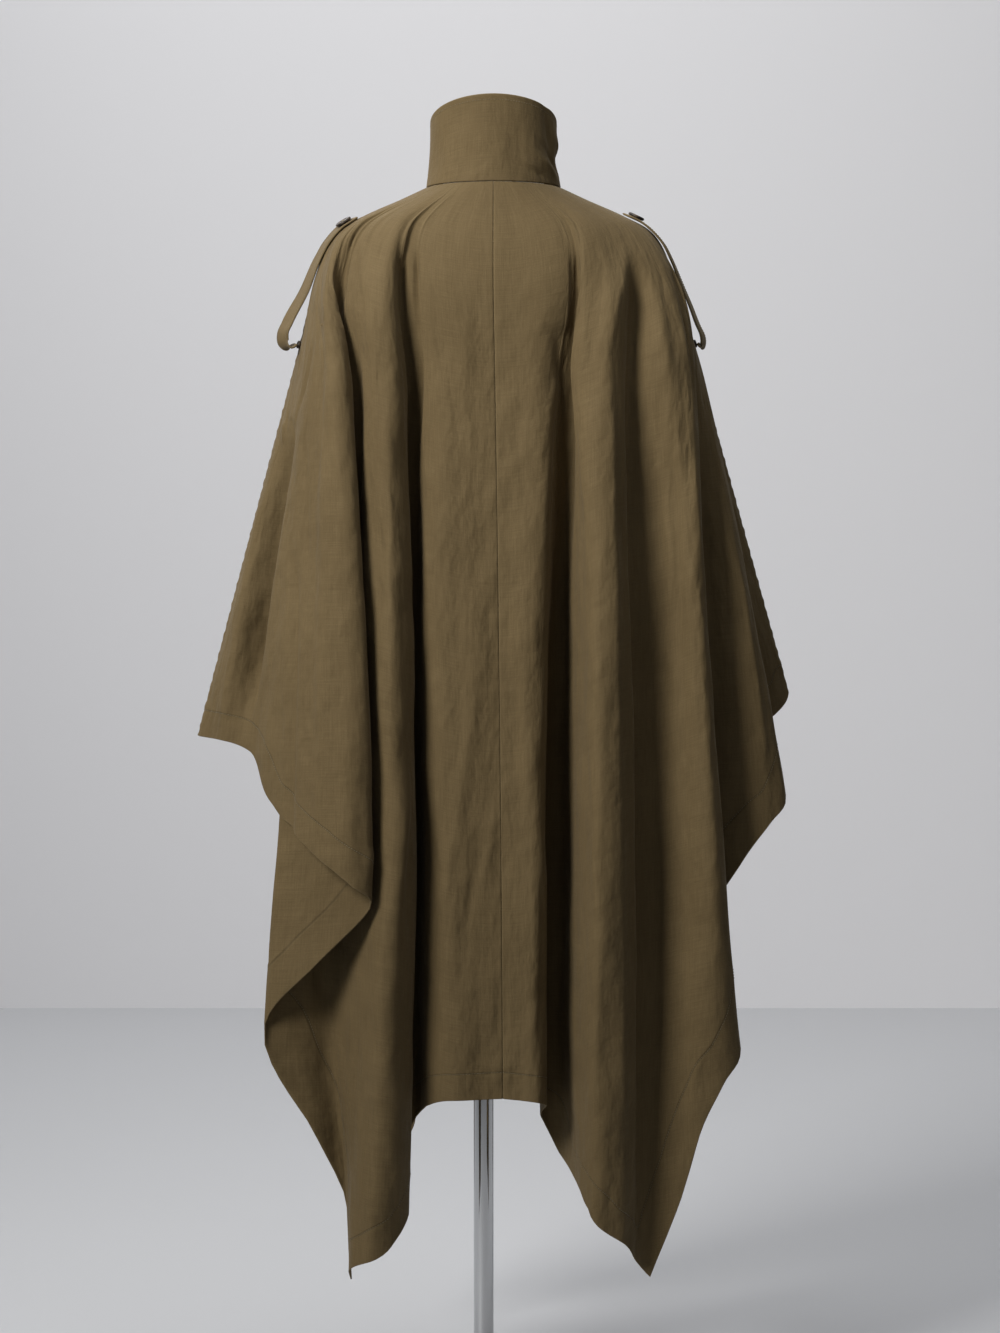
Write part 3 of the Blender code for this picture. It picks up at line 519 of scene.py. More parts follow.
def edge_slopes(side, places):
    """How much longer a hem is down each column than square to its slanting edge."""
    heights = np.array([edge_height(*wrapped(side, place)) for place in places])
    plan = np.array([
        plan_point(*wrapped(side, place), np.array([height]))[0]
        for place, height in zip(places, heights)
    ])
    slope = np.gradient(heights) / np.maximum(np.linalg.norm(np.gradient(plan, axis=0), axis=1), 1e-6)
    longer = np.pad(np.minimum(np.sqrt(1.0 + slope ** 2), STEEPEST), SLOPE_BLUR // 2, mode="edge")
    return np.convolve(longer, np.full(SLOPE_BLUR, 1.0 / SLOPE_BLUR), mode="valid")


def column_points(side, place, stretch):
    """Points down the cloth at one place: even steps to the hem, then the hem's own rows."""
    side, place = wrapped(side, place)
    top, edge = neck_height(side, place), edge_height(side, place)
    heights = top - (top - edge) * np.linspace(0.0, 1.0, COLUMN_SAMPLES) ** NECK_CROWDING
    plan = plan_point(side, place, heights)
    points = np.column_stack([plan[:, 0] + COAT_X, plan[:, 1], heights])
    run = run_along(points)
    hem = run[-1] - np.array(HEM_ROWS[::-1]) * MM * stretch
    upper = np.linspace(0.0, hem[0], QUARTER_ROWS - len(HEM_ROWS) + 1)[:-1]
    stops = np.concatenate([upper, hem])
    return np.column_stack([np.interp(stops, run, points[:, axis]) for axis in range(3)])


def place_runs(side, first, last):
    """Finely spaced places and the distance along the cloth to each, on average."""
    fine = np.linspace(first, last, int((last - first) * PLACE_SAMPLES) + 1)
    levels = np.array([HIGH, MID, LOW])
    plan = np.array([plan_point(side, place, levels) for place in fine])
    run = np.linalg.norm(np.diff(plan, axis=0), axis=-1).mean(axis=1)
    return fine, np.concatenate([[0.0], np.cumsum(run)])


def quarter_places(side, first, last):
    """Places of a quarter's columns: even along the cloth, closer beside the seams."""
    fine, run = place_runs(side, first, last)
    beside = np.array(SEAM_COLUMNS) * MM
    middle_count = QUARTER_COLUMNS - 2 * len(beside) + 2
    middle = np.linspace(beside[-1], run[-1] - beside[-1], middle_count)[1:-1]
    stops = np.concatenate([beside, middle, run[-1] - beside[::-1]])
    return np.interp(stops, run, fine), stops


def edge_distance(across, heights):
    """Distance of each grid point from the cut edge, as if the cloth lay flat."""
    columns = len(across)
    edge = heights[:, -1]
    result = np.empty_like(heights)
    for column in range(columns):
        low, high = max(column - EDGE_REACH, 0), min(column + EDGE_REACH, columns - 1)
        a = np.stack([across[low:high], edge[low:high]], axis=-1)
        b = np.stack([across[low + 1:high + 1], edge[low + 1:high + 1]], axis=-1)
        p = np.stack([np.full(heights.shape[1], across[column]), heights[column]], axis=-1)[:, None]
        along = b - a
        part = np.clip(((p - a) * along).sum(-1) / (along ** 2).sum(-1), 0.0, 1.0)
        result[column] = np.linalg.norm(p - (a + along * part[..., None]), axis=-1).min(axis=1)
    return result


# ---------------------------------------------------------------- creases and ripples
CREASE_HEAD_SHARE = 0.22        # share of a crease's run in which it grows to its full depth
CREASE_HEAD = 95 * MM           # the longest run in which it does so
CREASE_FOOT_SHARE = 0.4         # share of its run in which it dies out
CREASE_ROOM = 45 * MM           # run below the form's shoulders in which hollows may deepen
CREASE_EDGE = 0.12              # how round the edge of a sharp crease stays
SOFT_POWER, SHARP_POWER = 2.0, 1.1      # how steeply a soft and a crisp crease fall away
DRIFT_ROOM = 60 * MM            # run below the form's shoulders in which unevenness grows
DRIFT_LYING = 0.35              # share of the unevenness that is lost on the shoulders

# Slow waves of the cloth: turns in radians per metre over and down it, phase, height in mm.
Wave = namedtuple("Wave", "over down phase size")
WAVES = (
    Wave(58, 7, 0.4, 0.70),
    Wave(91, -12, 1.9, 0.45),
    Wave(139, 19, 3.1, 0.25),
    Wave(34, 27, 5.0, 0.45),
    Wave(205, -38, 2.2, 0.14),
    Wave(17, 61, 4.1, 0.16),
    Wave(122, 74, 0.9, 0.13),
)


def width_scale(grid, across):
    """How wide the cloth is at each point, as a share of its width on average."""
    steps = np.linalg.norm(np.gradient(grid[..., :2], axis=0), axis=-1)
    return steps / np.gradient(across)[:, None]


def crease_rise(side, across, heights, scale, fine, run):
    """How far the listed creases move the cloth outwards."""
    moved = np.zeros_like(heights)
    room = smooth_rise((FORM_TOUCHES - heights) / CREASE_ROOM)
    for crease in CREASES[side]:
        knots = np.array([crease.low, crease.middle, crease.top]) * MM
        places = [crease.low_place, crease.middle_place, crease.top_place]
        low, top = knots[0], knots[-1]
        path = np.interp(smooth_table(knots, places, np.clip(heights, low, top)), fine, run)
        head = min(CREASE_HEAD_SHARE * (top - low), CREASE_HEAD)
        foot = CREASE_FOOT_SHARE * (top - low)
        ends = smooth_rise((top - heights) / head) * smooth_rise((heights - low) / foot)
        slant = np.gradient(path, axis=1) / np.minimum(np.gradient(heights, axis=1), -1e-6) * scale
        off = (across[:, None] - path) * scale / np.sqrt(1.0 + slant ** 2)
        width = np.where(off < 0.0, crease.near, crease.far) * MM
        share = np.sqrt((off / width) ** 2 + (CREASE_EDGE * crease.sharp) ** 2)
        power = SOFT_POWER + (SHARP_POWER - SOFT_POWER) * crease.sharp
        rise = crease.rise * MM * ends * np.exp(-share ** power)
        moved += rise * room if crease.rise < 0 else rise
    return moved


def drift(across, heights, scale, side):
    """Slow, shallow unevenness of the hanging cloth, which fades where it rests on the form."""
    across = across[:, None]
    moved = np.zeros_like(heights)
    bend = 0.9 * np.sin(5.3 * heights + side) + 0.5 * np.sin(11.0 * heights - 21.0 * across)
    for number, wave in enumerate(WAVES):
        turn = wave.phase + side * (1.3 + number) + bend * (1.0 + 0.3 * number)
        moved += wave.size * MM * np.sin(wave.over * across + wave.down * heights + turn)
    lying = DRIFT_LYING * (1.0 - smooth_rise((FORM_TOUCHES - heights) / DRIFT_ROOM))
    return moved * np.clip(scale, 0.0, 1.2) * (1.0 - lying)


# ---------------------------------------------------------------- meshes
CLOTH_SHARP = 60                # degrees above which a shell's edge looks sharp
LATHE_SHARP = 50
RIM_SHARE = 0.12                # share of a wall's thickness that is left at its very rim
POINT_SHARE = 0.02              # share of its radius to which a closed lathe form narrows


def link_object(name, data):
    """A new object of the scene."""
    item = bpy.data.objects.new(name, data)
    bpy.context.scene.collection.objects.link(item)
    return item


def new_mesh(name, points, faces, material):
    """A mesh of one material."""
    mesh = bpy.data.meshes.new(name)
    mesh.from_pydata(np.asarray(points).tolist(), [], faces)
    mesh.materials.append(material)
    return mesh


def make_piece(name, mesh, sharp=None):
    """A smooth piece that rides on the part, its edges sharp above an angle in degrees."""
    mesh.shade_smooth()
    if sharp is not None:
        mesh.set_sharp_from_angle(angle=math.radians(sharp))
    piece = link_object(name, mesh)
    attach(piece, "root")
    return piece


def grid_faces(columns, rows):
    """Quads of a grid whose columns run clockwise from above and rows downwards."""
    index = np.arange(columns * rows).reshape(columns, rows)
    corners = [index[:-1, :-1], index[1:, :-1], index[1:, 1:], index[:-1, 1:]]
    return np.stack(corners, axis=-1).reshape(-1, 4)


def shell_faces(columns, rows):
    """Quads of a closed shell: its outer points come first, then its inner points."""
    count = columns * rows
    outer = grid_faces(columns, rows)
    index = np.arange(count).reshape(columns, rows)
    ring = np.concatenate([index[:-1, 0], index[-1, :-1], index[:0:-1, -1], index[0, :0:-1]])
    following = np.roll(ring, -1)
    rim = np.stack([ring, ring + count, following + count, following], axis=-1)
    return np.concatenate([outer, outer[:, ::-1] + count, rim])


def make_shell(name, outside, inside, cloth, marks, cotton):
    """A closed shell of cloth between two grids, with the same attributes on both."""
    points = np.concatenate([outside.reshape(-1, 3), inside.reshape(-1, 3)])
    mesh = new_mesh(name, points, shell_faces(*outside.shape[:2]).tolist(), cotton)
    for key, values in (("cloth", cloth), ("marks", marks)):
        flat = values.reshape(-1, 3).astype(np.float32)
        layer = mesh.attributes.new(key, "FLOAT_VECTOR", "POINT")
        layer.data.foreach_set("vector", np.concatenate([flat, flat]).ravel())
    return make_piece(name, mesh, CLOTH_SHARP)


def make_cloth(node, middle, normals, half, cloth, marks, cotton):
    """A sewn piece about its middle surface, and its outer and inner grids."""
    outside = middle + normals * half[..., None]
    inside = middle - normals * half[..., None]
    piece = make_shell("coat_" + node, outside, inside, cloth, marks, cotton)
    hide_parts(node)
    return piece, outside, inside


def grid_normals(grid):
    """Directions square to a grid of points."""
    return unit(np.cross(np.gradient(grid, axis=0), np.gradient(grid, axis=1)))


def run_down(grid):
    """Distance of each grid point down its column."""
    steps = np.diff(grid, axis=1, prepend=grid[:, :1])
    return np.cumsum(np.linalg.norm(steps, axis=-1), axis=1)


def side_distance(across, down):
    """Distance of each grid point from the nearer side of its piece."""
    return np.minimum(across, across[-1] - across)[:, None] + np.zeros_like(down)


def cloth_place(across, down):
    """Place of each grid point on its cloth laid flat."""
    flat = np.zeros_like(down)
    return np.stack([across + flat, down, flat], axis=-1)


def rounded(distance, half):
    """Half thickness of a wall near its rim, so that the rim is round."""
    part = np.clip(distance / half, 0.0, 1.0)
    return half * (RIM_SHARE + (1.0 - RIM_SHARE) * np.sqrt(part * (2.0 - part)))


def tube_faces(levels, columns):
    """Faces of a closed form of stacked rings, listed from bottom to top."""
    index = np.arange(levels * columns).reshape(levels, columns)
    following = np.roll(index, -1, axis=1)
    sides = np.stack([index[:-1], following[:-1], following[1:], index[1:]], axis=-1)
    return sides.reshape(-1, 4).tolist() + [index[0, ::-1].tolist(), index[-1].tolist()]


def make_lathe(name, rings, material, node=None):
    """A closed piece from stacked rings, which may stand for a node of the solids."""
    rings = np.asarray(rings)
    mesh = new_mesh(name, rings.reshape(-1, 3), tube_faces(*rings.shape[:2]), material)
    piece = make_piece(name, mesh, LATHE_SHARP)
    if node is not None:
        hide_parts(node)
    return piece


def ellipse_ring(half_width, back, front, height, columns, x=0.0):
    """Points round a ring that may be deeper in front than behind."""
    angle = 2.0 * math.pi * np.arange(columns) / columns
    depth = np.where(np.sin(angle) > 0.0, back, front)
    return np.column_stack([
        x + half_width * np.cos(angle), depth * np.sin(angle), np.full(columns, height),
    ])


def round_spokes(first, second, columns):
    """Directions round a circle, from the first direction towards the second."""
    angle = 2.0 * math.pi * np.arange(columns) / columns
    return first * np.cos(angle)[:, None] + second * np.sin(angle)[:, None]


# One stitch of thread: share of its length, and lift and radius as shares of the thread's.
STITCH_SHARES = np.array([0.0, 0.18, 0.5, 0.82, 1.0])
STITCH_LIFTS = np.array([-0.6, 0.55, 0.95, 0.55, -0.6])
STITCH_SIZES = np.array([0.35, 0.9, 1.0, 0.9, 0.35])
STITCH_SIDES = 6


def make_stitches(name, path, normals, thread):
    """A row of thread stitches along a path that lies on the cloth."""
    run = run_along(path)
    starts = np.arange(STITCH_PITCH / 2, run[-1] - STITCH_LENGTH, STITCH_PITCH)
    stops = starts[:, None] + STITCH_SHARES * STITCH_LENGTH
    centre, up = [
        np.stack([np.interp(stops, run, line[:, axis]) for axis in range(3)], axis=-1)
        for line in (path, normals)
    ]
    up = unit(up)
    along = unit(centre[:, -1] - centre[:, 0])[:, None]
    across = unit(np.cross(up, along))
    centre = centre + up * STITCH_LIFTS[:, None] * THREAD
    spokes = round_spokes(across[..., None, :], up[..., None, :], STITCH_SIDES)
    points = centre[..., None, :] + spokes * STITCH_SIZES[:, None, None] * THREAD
    one = tube_faces(len(STITCH_SHARES), STITCH_SIDES)
    each = len(STITCH_SHARES) * STITCH_SIDES
    faces = []
    for first in range(0, each * len(starts), each):
        faces += [[first + corner for corner in face] for face in one]
    name = "stitches_" + name
    return make_piece(name, new_mesh(name, points.reshape(-1, 3), faces, thread))


# ---------------------------------------------------------------- node helpers


def set_inputs(tree, node, inputs):
    """Set each input to its value, or link it to another node's output."""
    for key, value in inputs.items():
        if isinstance(value, bpy.types.NodeSocket):
            tree.links.new(value, node.inputs[key])
        else:
            node.inputs[key].default_value = value


def new_material(name):
    """An empty node material and its shader."""
    material = bpy.data.materials.new(name)
    material.use_nodes = True
    tree = material.node_tree
    return material, tree, tree.nodes["Principled BSDF"]


def add_node(tree, kind, inputs=None, **settings):
    """A node with its settings and its inputs."""
    made = tree.nodes.new("ShaderNode" + kind)
    for key, value in settings.items():
        setattr(made, key, value)
    set_inputs(tree, made, inputs or {})
    return made


def attribute(tree, name):
    """The vector of a mesh attribute."""
    return add_node(tree, "Attribute", attribute_name=name).outputs["Vector"]


def object_place(tree):
    """The place on the piece itself."""
    return add_node(tree, "TexCoord").outputs["Object"]


def noise(tree, vector, scale, detail=2.0, stretch=(1.0, 1.0, 1.0)):
    """A noise value, stretched along the cloth's axes."""
    placed = add_node(tree, "VectorMath", {0: vector, 1: stretch}, operation="MULTIPLY").outputs[0]
    return add_node(tree, "TexNoise", {"Vector": placed, "Scale": scale, "Detail": detail}).outputs[0]


def remap(tree, value, low, high, to_low=0.0, to_high=1.0, kind="LINEAR"):
    """A value moved from one range to another, and held there."""
    return add_node(tree, "MapRange", {
        "Value": value, "From Min": low, "From Max": high, "To Min": to_low, "To Max": to_high,
    }, interpolation_type=kind).outputs[0]


def math_node(tree, operation, first, second=0.0):
    """Arithmetic on one or two values."""
    return add_node(tree, "Math", {0: first, 1: second}, operation=operation).outputs[0]


def weighted(tree, *terms):
    """The sum of values, each times its weight."""
    parts = [math_node(tree, "MULTIPLY", value, weight) for value, weight in terms]
    total = parts[0]
    for part in parts[1:]:
        total = math_node(tree, "ADD", total, part)
    return total


def bumps(tree, *layers):
    """Bumps on top of each other: the height, distance and strength of each."""
    normal = None
    for height, distance, strength in layers:
        inputs = {"Height": height, "Distance": distance, "Strength": strength}
        if normal is not None:
            inputs["Normal"] = normal
        normal = add_node(tree, "Bump", inputs).outputs[0]
    return normal


def mix_colour(tree, amount, first, second):
    """A colour between two."""
    return add_node(tree, "Mix", {0: amount, 6: first, 7: second}, data_type="RGBA").outputs[2]


# ---------------------------------------------------------------- materials
YARN_PITCH = 0.55 * MM
WAVE_PERIOD = 2.0 * math.pi / 20.0      # the wave texture's period at scale 1

COTTON_DARK = (0.106, 0.073, 0.031, 1.0)
COTTON_PALE = (0.158, 0.112, 0.050, 1.0)
COTTON_WORN = (0.23, 0.175, 0.09, 1.0)
# painted shade: the dark colour that the cloth is given along the hem's stitch groove
COTTON_GROOVE_SHADE = (0.040, 0.030, 0.013, 1.0)
COTTON_SHEEN = (0.80, 0.66, 0.45, 1.0)
THREAD_DARK, THREAD_PALE = (0.115, 0.088, 0.040, 1.0), (0.175, 0.138, 0.070, 1.0)
HORN_DARK, HORN_PALE = (0.010, 0.008, 0.007, 1.0), (0.085, 0.060, 0.038, 1.0)
LINEN_DARK, LINEN_PALE = (0.52, 0.47, 0.38, 1.0), (0.74, 0.70, 0.61, 1.0)
WOOD_DARK, WOOD_PALE = (0.20, 0.10, 0.045, 1.0), (0.42, 0.25, 0.12, 1.0)
WOOD_PORE = (0.09, 0.045, 0.02, 1.0)
STEEL_DARK, STEEL_PALE = (0.56, 0.57, 0.58, 1.0), (0.68, 0.68, 0.69, 1.0)


def woven(tree, cloth):
    """Height of the plain weave."""
    warp, weft = [
        add_node(tree, "TexWave", {"Vector": cloth, "Scale": WAVE_PERIOD / YARN_PITCH},
                 bands_direction=axis).outputs[1]
        for axis in ("X", "Y")
    ]
    return math_node(tree, "MULTIPLY", warp, weft)


def cotton_material():
    """Crisp plain-woven olive cotton, read along and across the cloth."""
    material, tree, shader = new_material("olive_cotton_cloth")
    cloth = attribute(tree, "cloth")
    marks = add_node(tree, "SeparateXYZ", {0: attribute(tree, "marks")})
    from_edge, from_seam, from_neck = [marks.outputs[axis] for axis in range(3)]
    slub_down = noise(tree, cloth, 26.0, 3.0, (34.0, 1.0, 1.0))
    slub_across = noise(tree, cloth, 26.0, 3.0, (1.0, 34.0, 1.0))
    slubs = math_node(tree, "ADD", slub_down, slub_across)
    cloud = noise(tree, cloth, 9.0, 3.0)
    grain = noise(tree, cloth, 700.0, 2.0)
    tone = weighted(tree, (slubs, 0.55), (cloud, 0.45), (grain, 0.35))
    colour = mix_colour(tree, remap(tree, tone, 0.80, 1.40), COTTON_DARK, COTTON_PALE)
    rim = math_node(tree, "MINIMUM", from_edge, from_seam)
    wear = remap(tree, rim, 0.0, 2.2 * MM, 0.32, 0.0)
    wear = math_node(tree, "MULTIPLY", wear, remap(tree, grain, 0.35, 0.75, 0.2, 1.0))
    colour = mix_colour(tree, wear, colour, COTTON_WORN)
    from_stitch = math_node(tree, "SUBTRACT", from_edge, HEM_STITCH_AT)
    from_stitch = math_node(tree, "ABSOLUTE", from_stitch)
    groove = remap(tree, from_stitch, 0.2 * MM, 1.8 * MM, kind="SMOOTHSTEP")
    # Painted shade: the cloth is darkened along the groove of the hem's row of stitches, where shade
    # falls in it.
    colour = mix_colour(tree, remap(tree, groove, 0.0, 1.0, 0.30, 0.0), colour, COTTON_GROOVE_SHADE)
    hanging = remap(tree, from_neck, 0.05, 0.28, 0.12, 1.0, kind="SMOOTHSTEP")
    normal = bumps(
        tree,
        (noise(tree, cloth, 14.0, 3.0, (1.0, 0.36, 1.0)), 16.0 * MM, hanging),
        (noise(tree, cloth, 36.0, 3.0, (1.0, 0.45, 1.0)), 5.5 * MM, hanging),
        (noise(tree, cloth, 120.0, 2.0, (1.0, 0.6, 1.0)), 0.6 * MM, 1.0),
        (groove, 0.35 * MM, 1.0),
        (slubs, 0.10 * MM, 1.0),
        (woven(tree, cloth), 0.07 * MM, 0.7),
    )
    set_inputs(tree, shader, {
        "Base Color": colour, "Roughness": remap(tree, tone, 0.8, 1.4, 0.88, 0.76),
        "Normal": normal, "Specular IOR Level": 0.28,
        "Sheen Weight": 0.10, "Sheen Roughness": 0.4, "Sheen Tint": COTTON_SHEEN,
    })
    return material


def thread_material():
    """Twisted sewing thread, a little lighter than the cloth."""
    material, tree, shader = new_material("olive_thread")
    twist = noise(tree, object_place(tree), 2600.0, 1.0)
    set_inputs(tree, shader, {
        "Base Color": mix_colour(tree, twist, THREAD_DARK, THREAD_PALE),
        "Normal": bumps(tree, (twist, 0.05 * MM, 1.0)),
        "Roughness": 0.6, "Sheen Weight": 0.2,
    })
    return material


def horn_material():
    """Dark mottled horn with a satin polish."""
    material, tree, shader = new_material("mottled_horn")
    place = object_place(tree)
    cloud = noise(tree, place, 190.0, 4.0, (1.0, 1.0, 2.4))
    streak = noise(tree, place, 620.0, 2.0, (1.0, 0.35, 1.0))
    shade = remap(tree, weighted(tree, (cloud, 0.75), (streak, 0.3)), 0.45, 0.68)
    set_inputs(tree, shader, {
        "Base Color": mix_colour(tree, shade, HORN_DARK, HORN_PALE),
        "Roughness": remap(tree, streak, 0.3, 0.7, 0.40, 0.55),
        "Normal": bumps(tree, (streak, 0.06 * MM, 1.0)),
        "Specular IOR Level": 0.35,
    })
    return material


def linen_material():
    """Unbleached linen stretched over the dress form."""
    material, tree, shader = new_material("linen_cover")
    place = object_place(tree)
    level = noise(tree, place, 30.0, 3.0, (1.0, 1.0, 30.0))
    upright = noise(tree, place, 30.0, 3.0, (26.0, 26.0, 1.0))
    slubs = math_node(tree, "ADD", level, upright)
    set_inputs(tree, shader, {
        "Base Color": mix_colour(tree, remap(tree, slubs, 0.75, 1.3), LINEN_DARK, LINEN_PALE),
        "Normal": bumps(tree, (slubs, 0.25 * MM, 1.0)),
        "Roughness": 0.9, "Sheen Weight": 0.15,
    })
    return material


def wood_material():
    """Turned wood under a satin lacquer."""
    material, tree, shader = new_material("turned_wood")
    place = object_place(tree)
    figure = noise(tree, place, 18.0, 4.0, (1.0, 7.0, 1.0))
    pores = noise(tree, place, 260.0, 2.0, (1.0, 12.0, 1.0))
    colour = mix_colour(tree, remap(tree, figure, 0.3, 0.7), WOOD_DARK, WOOD_PALE)
    colour = mix_colour(tree, remap(tree, pores, 0.55, 0.75, 0.0, 0.5), colour, WOOD_PORE)
    set_inputs(tree, shader, {
        "Base Color": colour, "Roughness": remap(tree, pores, 0.3, 0.7, 0.32, 0.46),
        "Normal": bumps(tree, (pores, 0.08 * MM, 1.0)),
        "Coat Weight": 0.3, "Coat Roughness": 0.25,
    })
    return material


def steel_material(name, stretch, smooth, rough):
    """Steel with fine marks that run along its grain."""
    material, tree, shader = new_material(name)
    place = object_place(tree)
    marks = noise(tree, place, 420.0, 3.0, stretch)
    smear = noise(tree, place, 9.0, 3.0)
    set_inputs(tree, shader, {
        "Base Color": mix_colour(tree, smear, STEEL_DARK, STEEL_PALE),
        "Roughness": remap(tree, smear, 0.3, 0.7, smooth, rough),
        "Normal": bumps(tree, (marks, 0.03 * MM, 1.0)),
        "Metallic": 1.0,
    })
    return material


def plain_material(name, colour, roughness):
    """A matt studio surface."""
    material, tree, shader = new_material(name)
    set_inputs(tree, shader, {"Base Color": (*colour, 1.0), "Roughness": roughness})
    return material


def one_sided(material):
    """A surface that can't be seen from behind, so that it hides nothing from there."""
    tree = material.node_tree
    shader = tree.nodes["Principled BSDF"]
    behind = add_node(tree, "NewGeometry").outputs["Backfacing"]
    clear = add_node(tree, "BsdfTransparent").outputs[0]
    both = add_node(tree, "MixShader", {0: behind, 1: shader.outputs[0], 2: clear}).outputs[0]
    set_inputs(tree, tree.nodes["Material Output"], {"Surface": both})
    return material


# ---------------------------------------------------------------- the coat's quarters
HEM_STEP = 0.8 * MM             # width of the step at the upper end of the turned hem
SEAM_DIP = 0.5 * MM             # how far the cloth turns in at a seam
SEAM_DIP_WIDTH = 1.0 * MM
SEAM_FLAT = 2 * MM              # the small ripples fade this close to a seam
SEAM_CALM = 14 * MM             # the creases fade this close to a seam
NECK_CALM = 25 * MM             # and in this run below the neck seam
PUCKER = 0.45 * MM              # height of the small ripples along seams and hems
ALLOWANCE_COLUMNS = 9           # grid columns of each piece that its seam allowance covers
ALLOWANCE_WALL = 0.8 * MM
ALLOWANCE_OFF = 0.12 * MM


def pucker(distance, along, reach, pitch):
    """Small ripples that a row of sewing draws into the cloth beside it."""
    turn = 2.0 * math.pi * along / pitch
    beat = np.sin(turn) + 0.6 * np.sin(turn / 1.7 + 1.0)
    return PUCKER * beat * np.exp(-(distance / reach) ** 2)


def stitch_groove(distance, at, width, depth):
    """How far a row of stitches pulls a doubled wall in beside it."""
    return depth * np.exp(-((distance - at) / width) ** 2)


def quarter_surface(side, first, last):
    """A quarter's outer grid and normals, with its distances from edge, seam and neck."""
    places, across = quarter_places(side, first, last)
    fine, run = place_runs(side, 0, LAST_LINE[side])
    wider = np.concatenate([
        [2.0 * places[0] - places[1]], places, [2.0 * places[-1] - places[-2]],
    ])
    stretches = edge_slopes(side, wider)
    grid = np.array([column_points(side, *column) for column in zip(wider, stretches)])
    normals = grid_normals(grid)[1:-1] * side
    grid = grid[1:-1]
    heights = grid[..., 2]
    from_edge = edge_distance(across, heights)
    from_seam = side_distance(across, heights)
    down = run_down(grid)
    scale = width_scale(grid, across)
    whole = np.interp(places, fine, run)
    rise = crease_rise(side, whole, heights, scale, fine, run) + drift(whole, heights, scale, side)
    rise *= (1.0 - np.exp(-(from_seam / SEAM_CALM) ** 2)) * smooth_rise(down / NECK_CALM)
    rise += pucker(from_seam, down, reach=9 * MM, pitch=13 * MM) * smooth_rise(from_seam / SEAM_FLAT)
    rise += pucker(from_edge - HEM_STITCH_AT, across[:, None], reach=8 * MM, pitch=16 * MM)
    rise -= SEAM_DIP * np.exp(-(from_seam / SEAM_DIP_WIDTH) ** 2)
    return grid + normals * rise[..., None], normals, across, down, from_edge, from_seam


Quarter = namedtuple("Quarter", "piece stitches inside normals cloth marks")


def make_quarter(word, side, first, last, cotton, thread):
    """One quarter of the coat with its turned hem and the hem's row of stitches."""
    grid, normals, across, down, from_edge, from_seam = quarter_surface(side, first, last)
    for edge, neighbour in ((0, 1), (-1, -2)):
        grid[edge] += unit(grid[neighbour] - grid[edge]) * SEAM_GAP / 2
    above_hem = smooth_rise((from_edge - HEM_WIDTH + HEM_STEP / 2) / HEM_STEP)
    wall = CLOTH + HEM_EXTRA * (1.0 - above_hem)
    half = rounded(np.minimum(np.minimum(from_edge, from_seam), down), wall / 2)
    middle = grid - normals * (wall / 2)[..., None]
    cloth = cloth_place(across[:, None], down)
    marks = np.stack([from_edge, from_seam, down], axis=-1)
    middle, normals, half, cloth, marks, from_edge = [
        part[::side] for part in (middle, normals, half, cloth, marks, from_edge)
    ]
    piece, outside, inside = make_cloth(word, middle, normals, half, cloth, marks, cotton)
    path, facing = hem_path(outside, normals, from_edge)
    stitches = make_stitches(word, path, facing, thread)
    return Quarter(piece, stitches, inside, normals, cloth, marks)


def make_allowance(name, before, after, cotton):
    """The pressed-open allowance on the inside of the seam between two quarters."""
    reach = ALLOWANCE_COLUMNS
    grids = []
    for first, second in zip(before[2:], after[2:]):
        grids.append(np.concatenate([first[-reach:], second[:reach]]))
    hanging = grids[0][reach, :, 2] < FORM_TOUCHES
    grid, normals, cloth, marks = [part[:, hanging][:, :-2] for part in grids]
    outside = grid - normals * ALLOWANCE_OFF
    inside = outside - normals * ALLOWANCE_WALL
    return make_shell("allowance_" + name, outside, inside, cloth, marks, cotton)


def hem_path(surface, normals, from_edge):
    """The line on the cloth that lies a stitch row's distance from the cut edge."""
    path, facing = [], []
    for points, faces, distance in zip(surface, normals, from_edge):
        below = np.nonzero(distance[::-1] >= HEM_STITCH_AT)[0]
        if len(below) == 0:
            continue
        row = len(distance) - 1 - below[0]
        following = min(row + 1, len(distance) - 1)
        gap = max(distance[row] - distance[following], 1e-9)
        part = min((distance[row] - HEM_STITCH_AT) / gap, 1.0)
        path.append(points[row] + (points[following] - points[row]) * part)
        facing.append(faces[row])
    return np.array(path), np.array(facing)


# ---------------------------------------------------------------- placket and collar
PLACKET_OFF = 2.1 * MM
PLACKET_WALL = 1.2 * MM
PLACKET_COLUMNS = 13            # grid columns on each side of the centre front
PLACKET_PUCKER_AT = 6 * MM
PLACKET_STITCH_AT = 7 * MM
COLLAR_COLUMNS, COLLAR_ROWS = 220, 44
COLLAR_GIRTH = 560 * MM         # rounded up with its lap, to space the columns at its ends
COLLAR_HEIGHT = 106 * MM
COLLAR_BOW = 1.6 * MM           # how far its middle stands in from its seam and top edge
COLLAR_STITCH_AT = 6 * MM
LAP_FROM, LAP_OVER = 150.0, 28.0    # degrees where the lapped end leaves the collar, and run
RIM_STEP = 0.35 * MM            # first step of a grid in from a rounded rim
PAST_HEMS = 0.2                 # metres, added to a mark so that no hem shows in the material
PAST_NECK = 0.1                 # metres, how far below the neck the collar's billows count

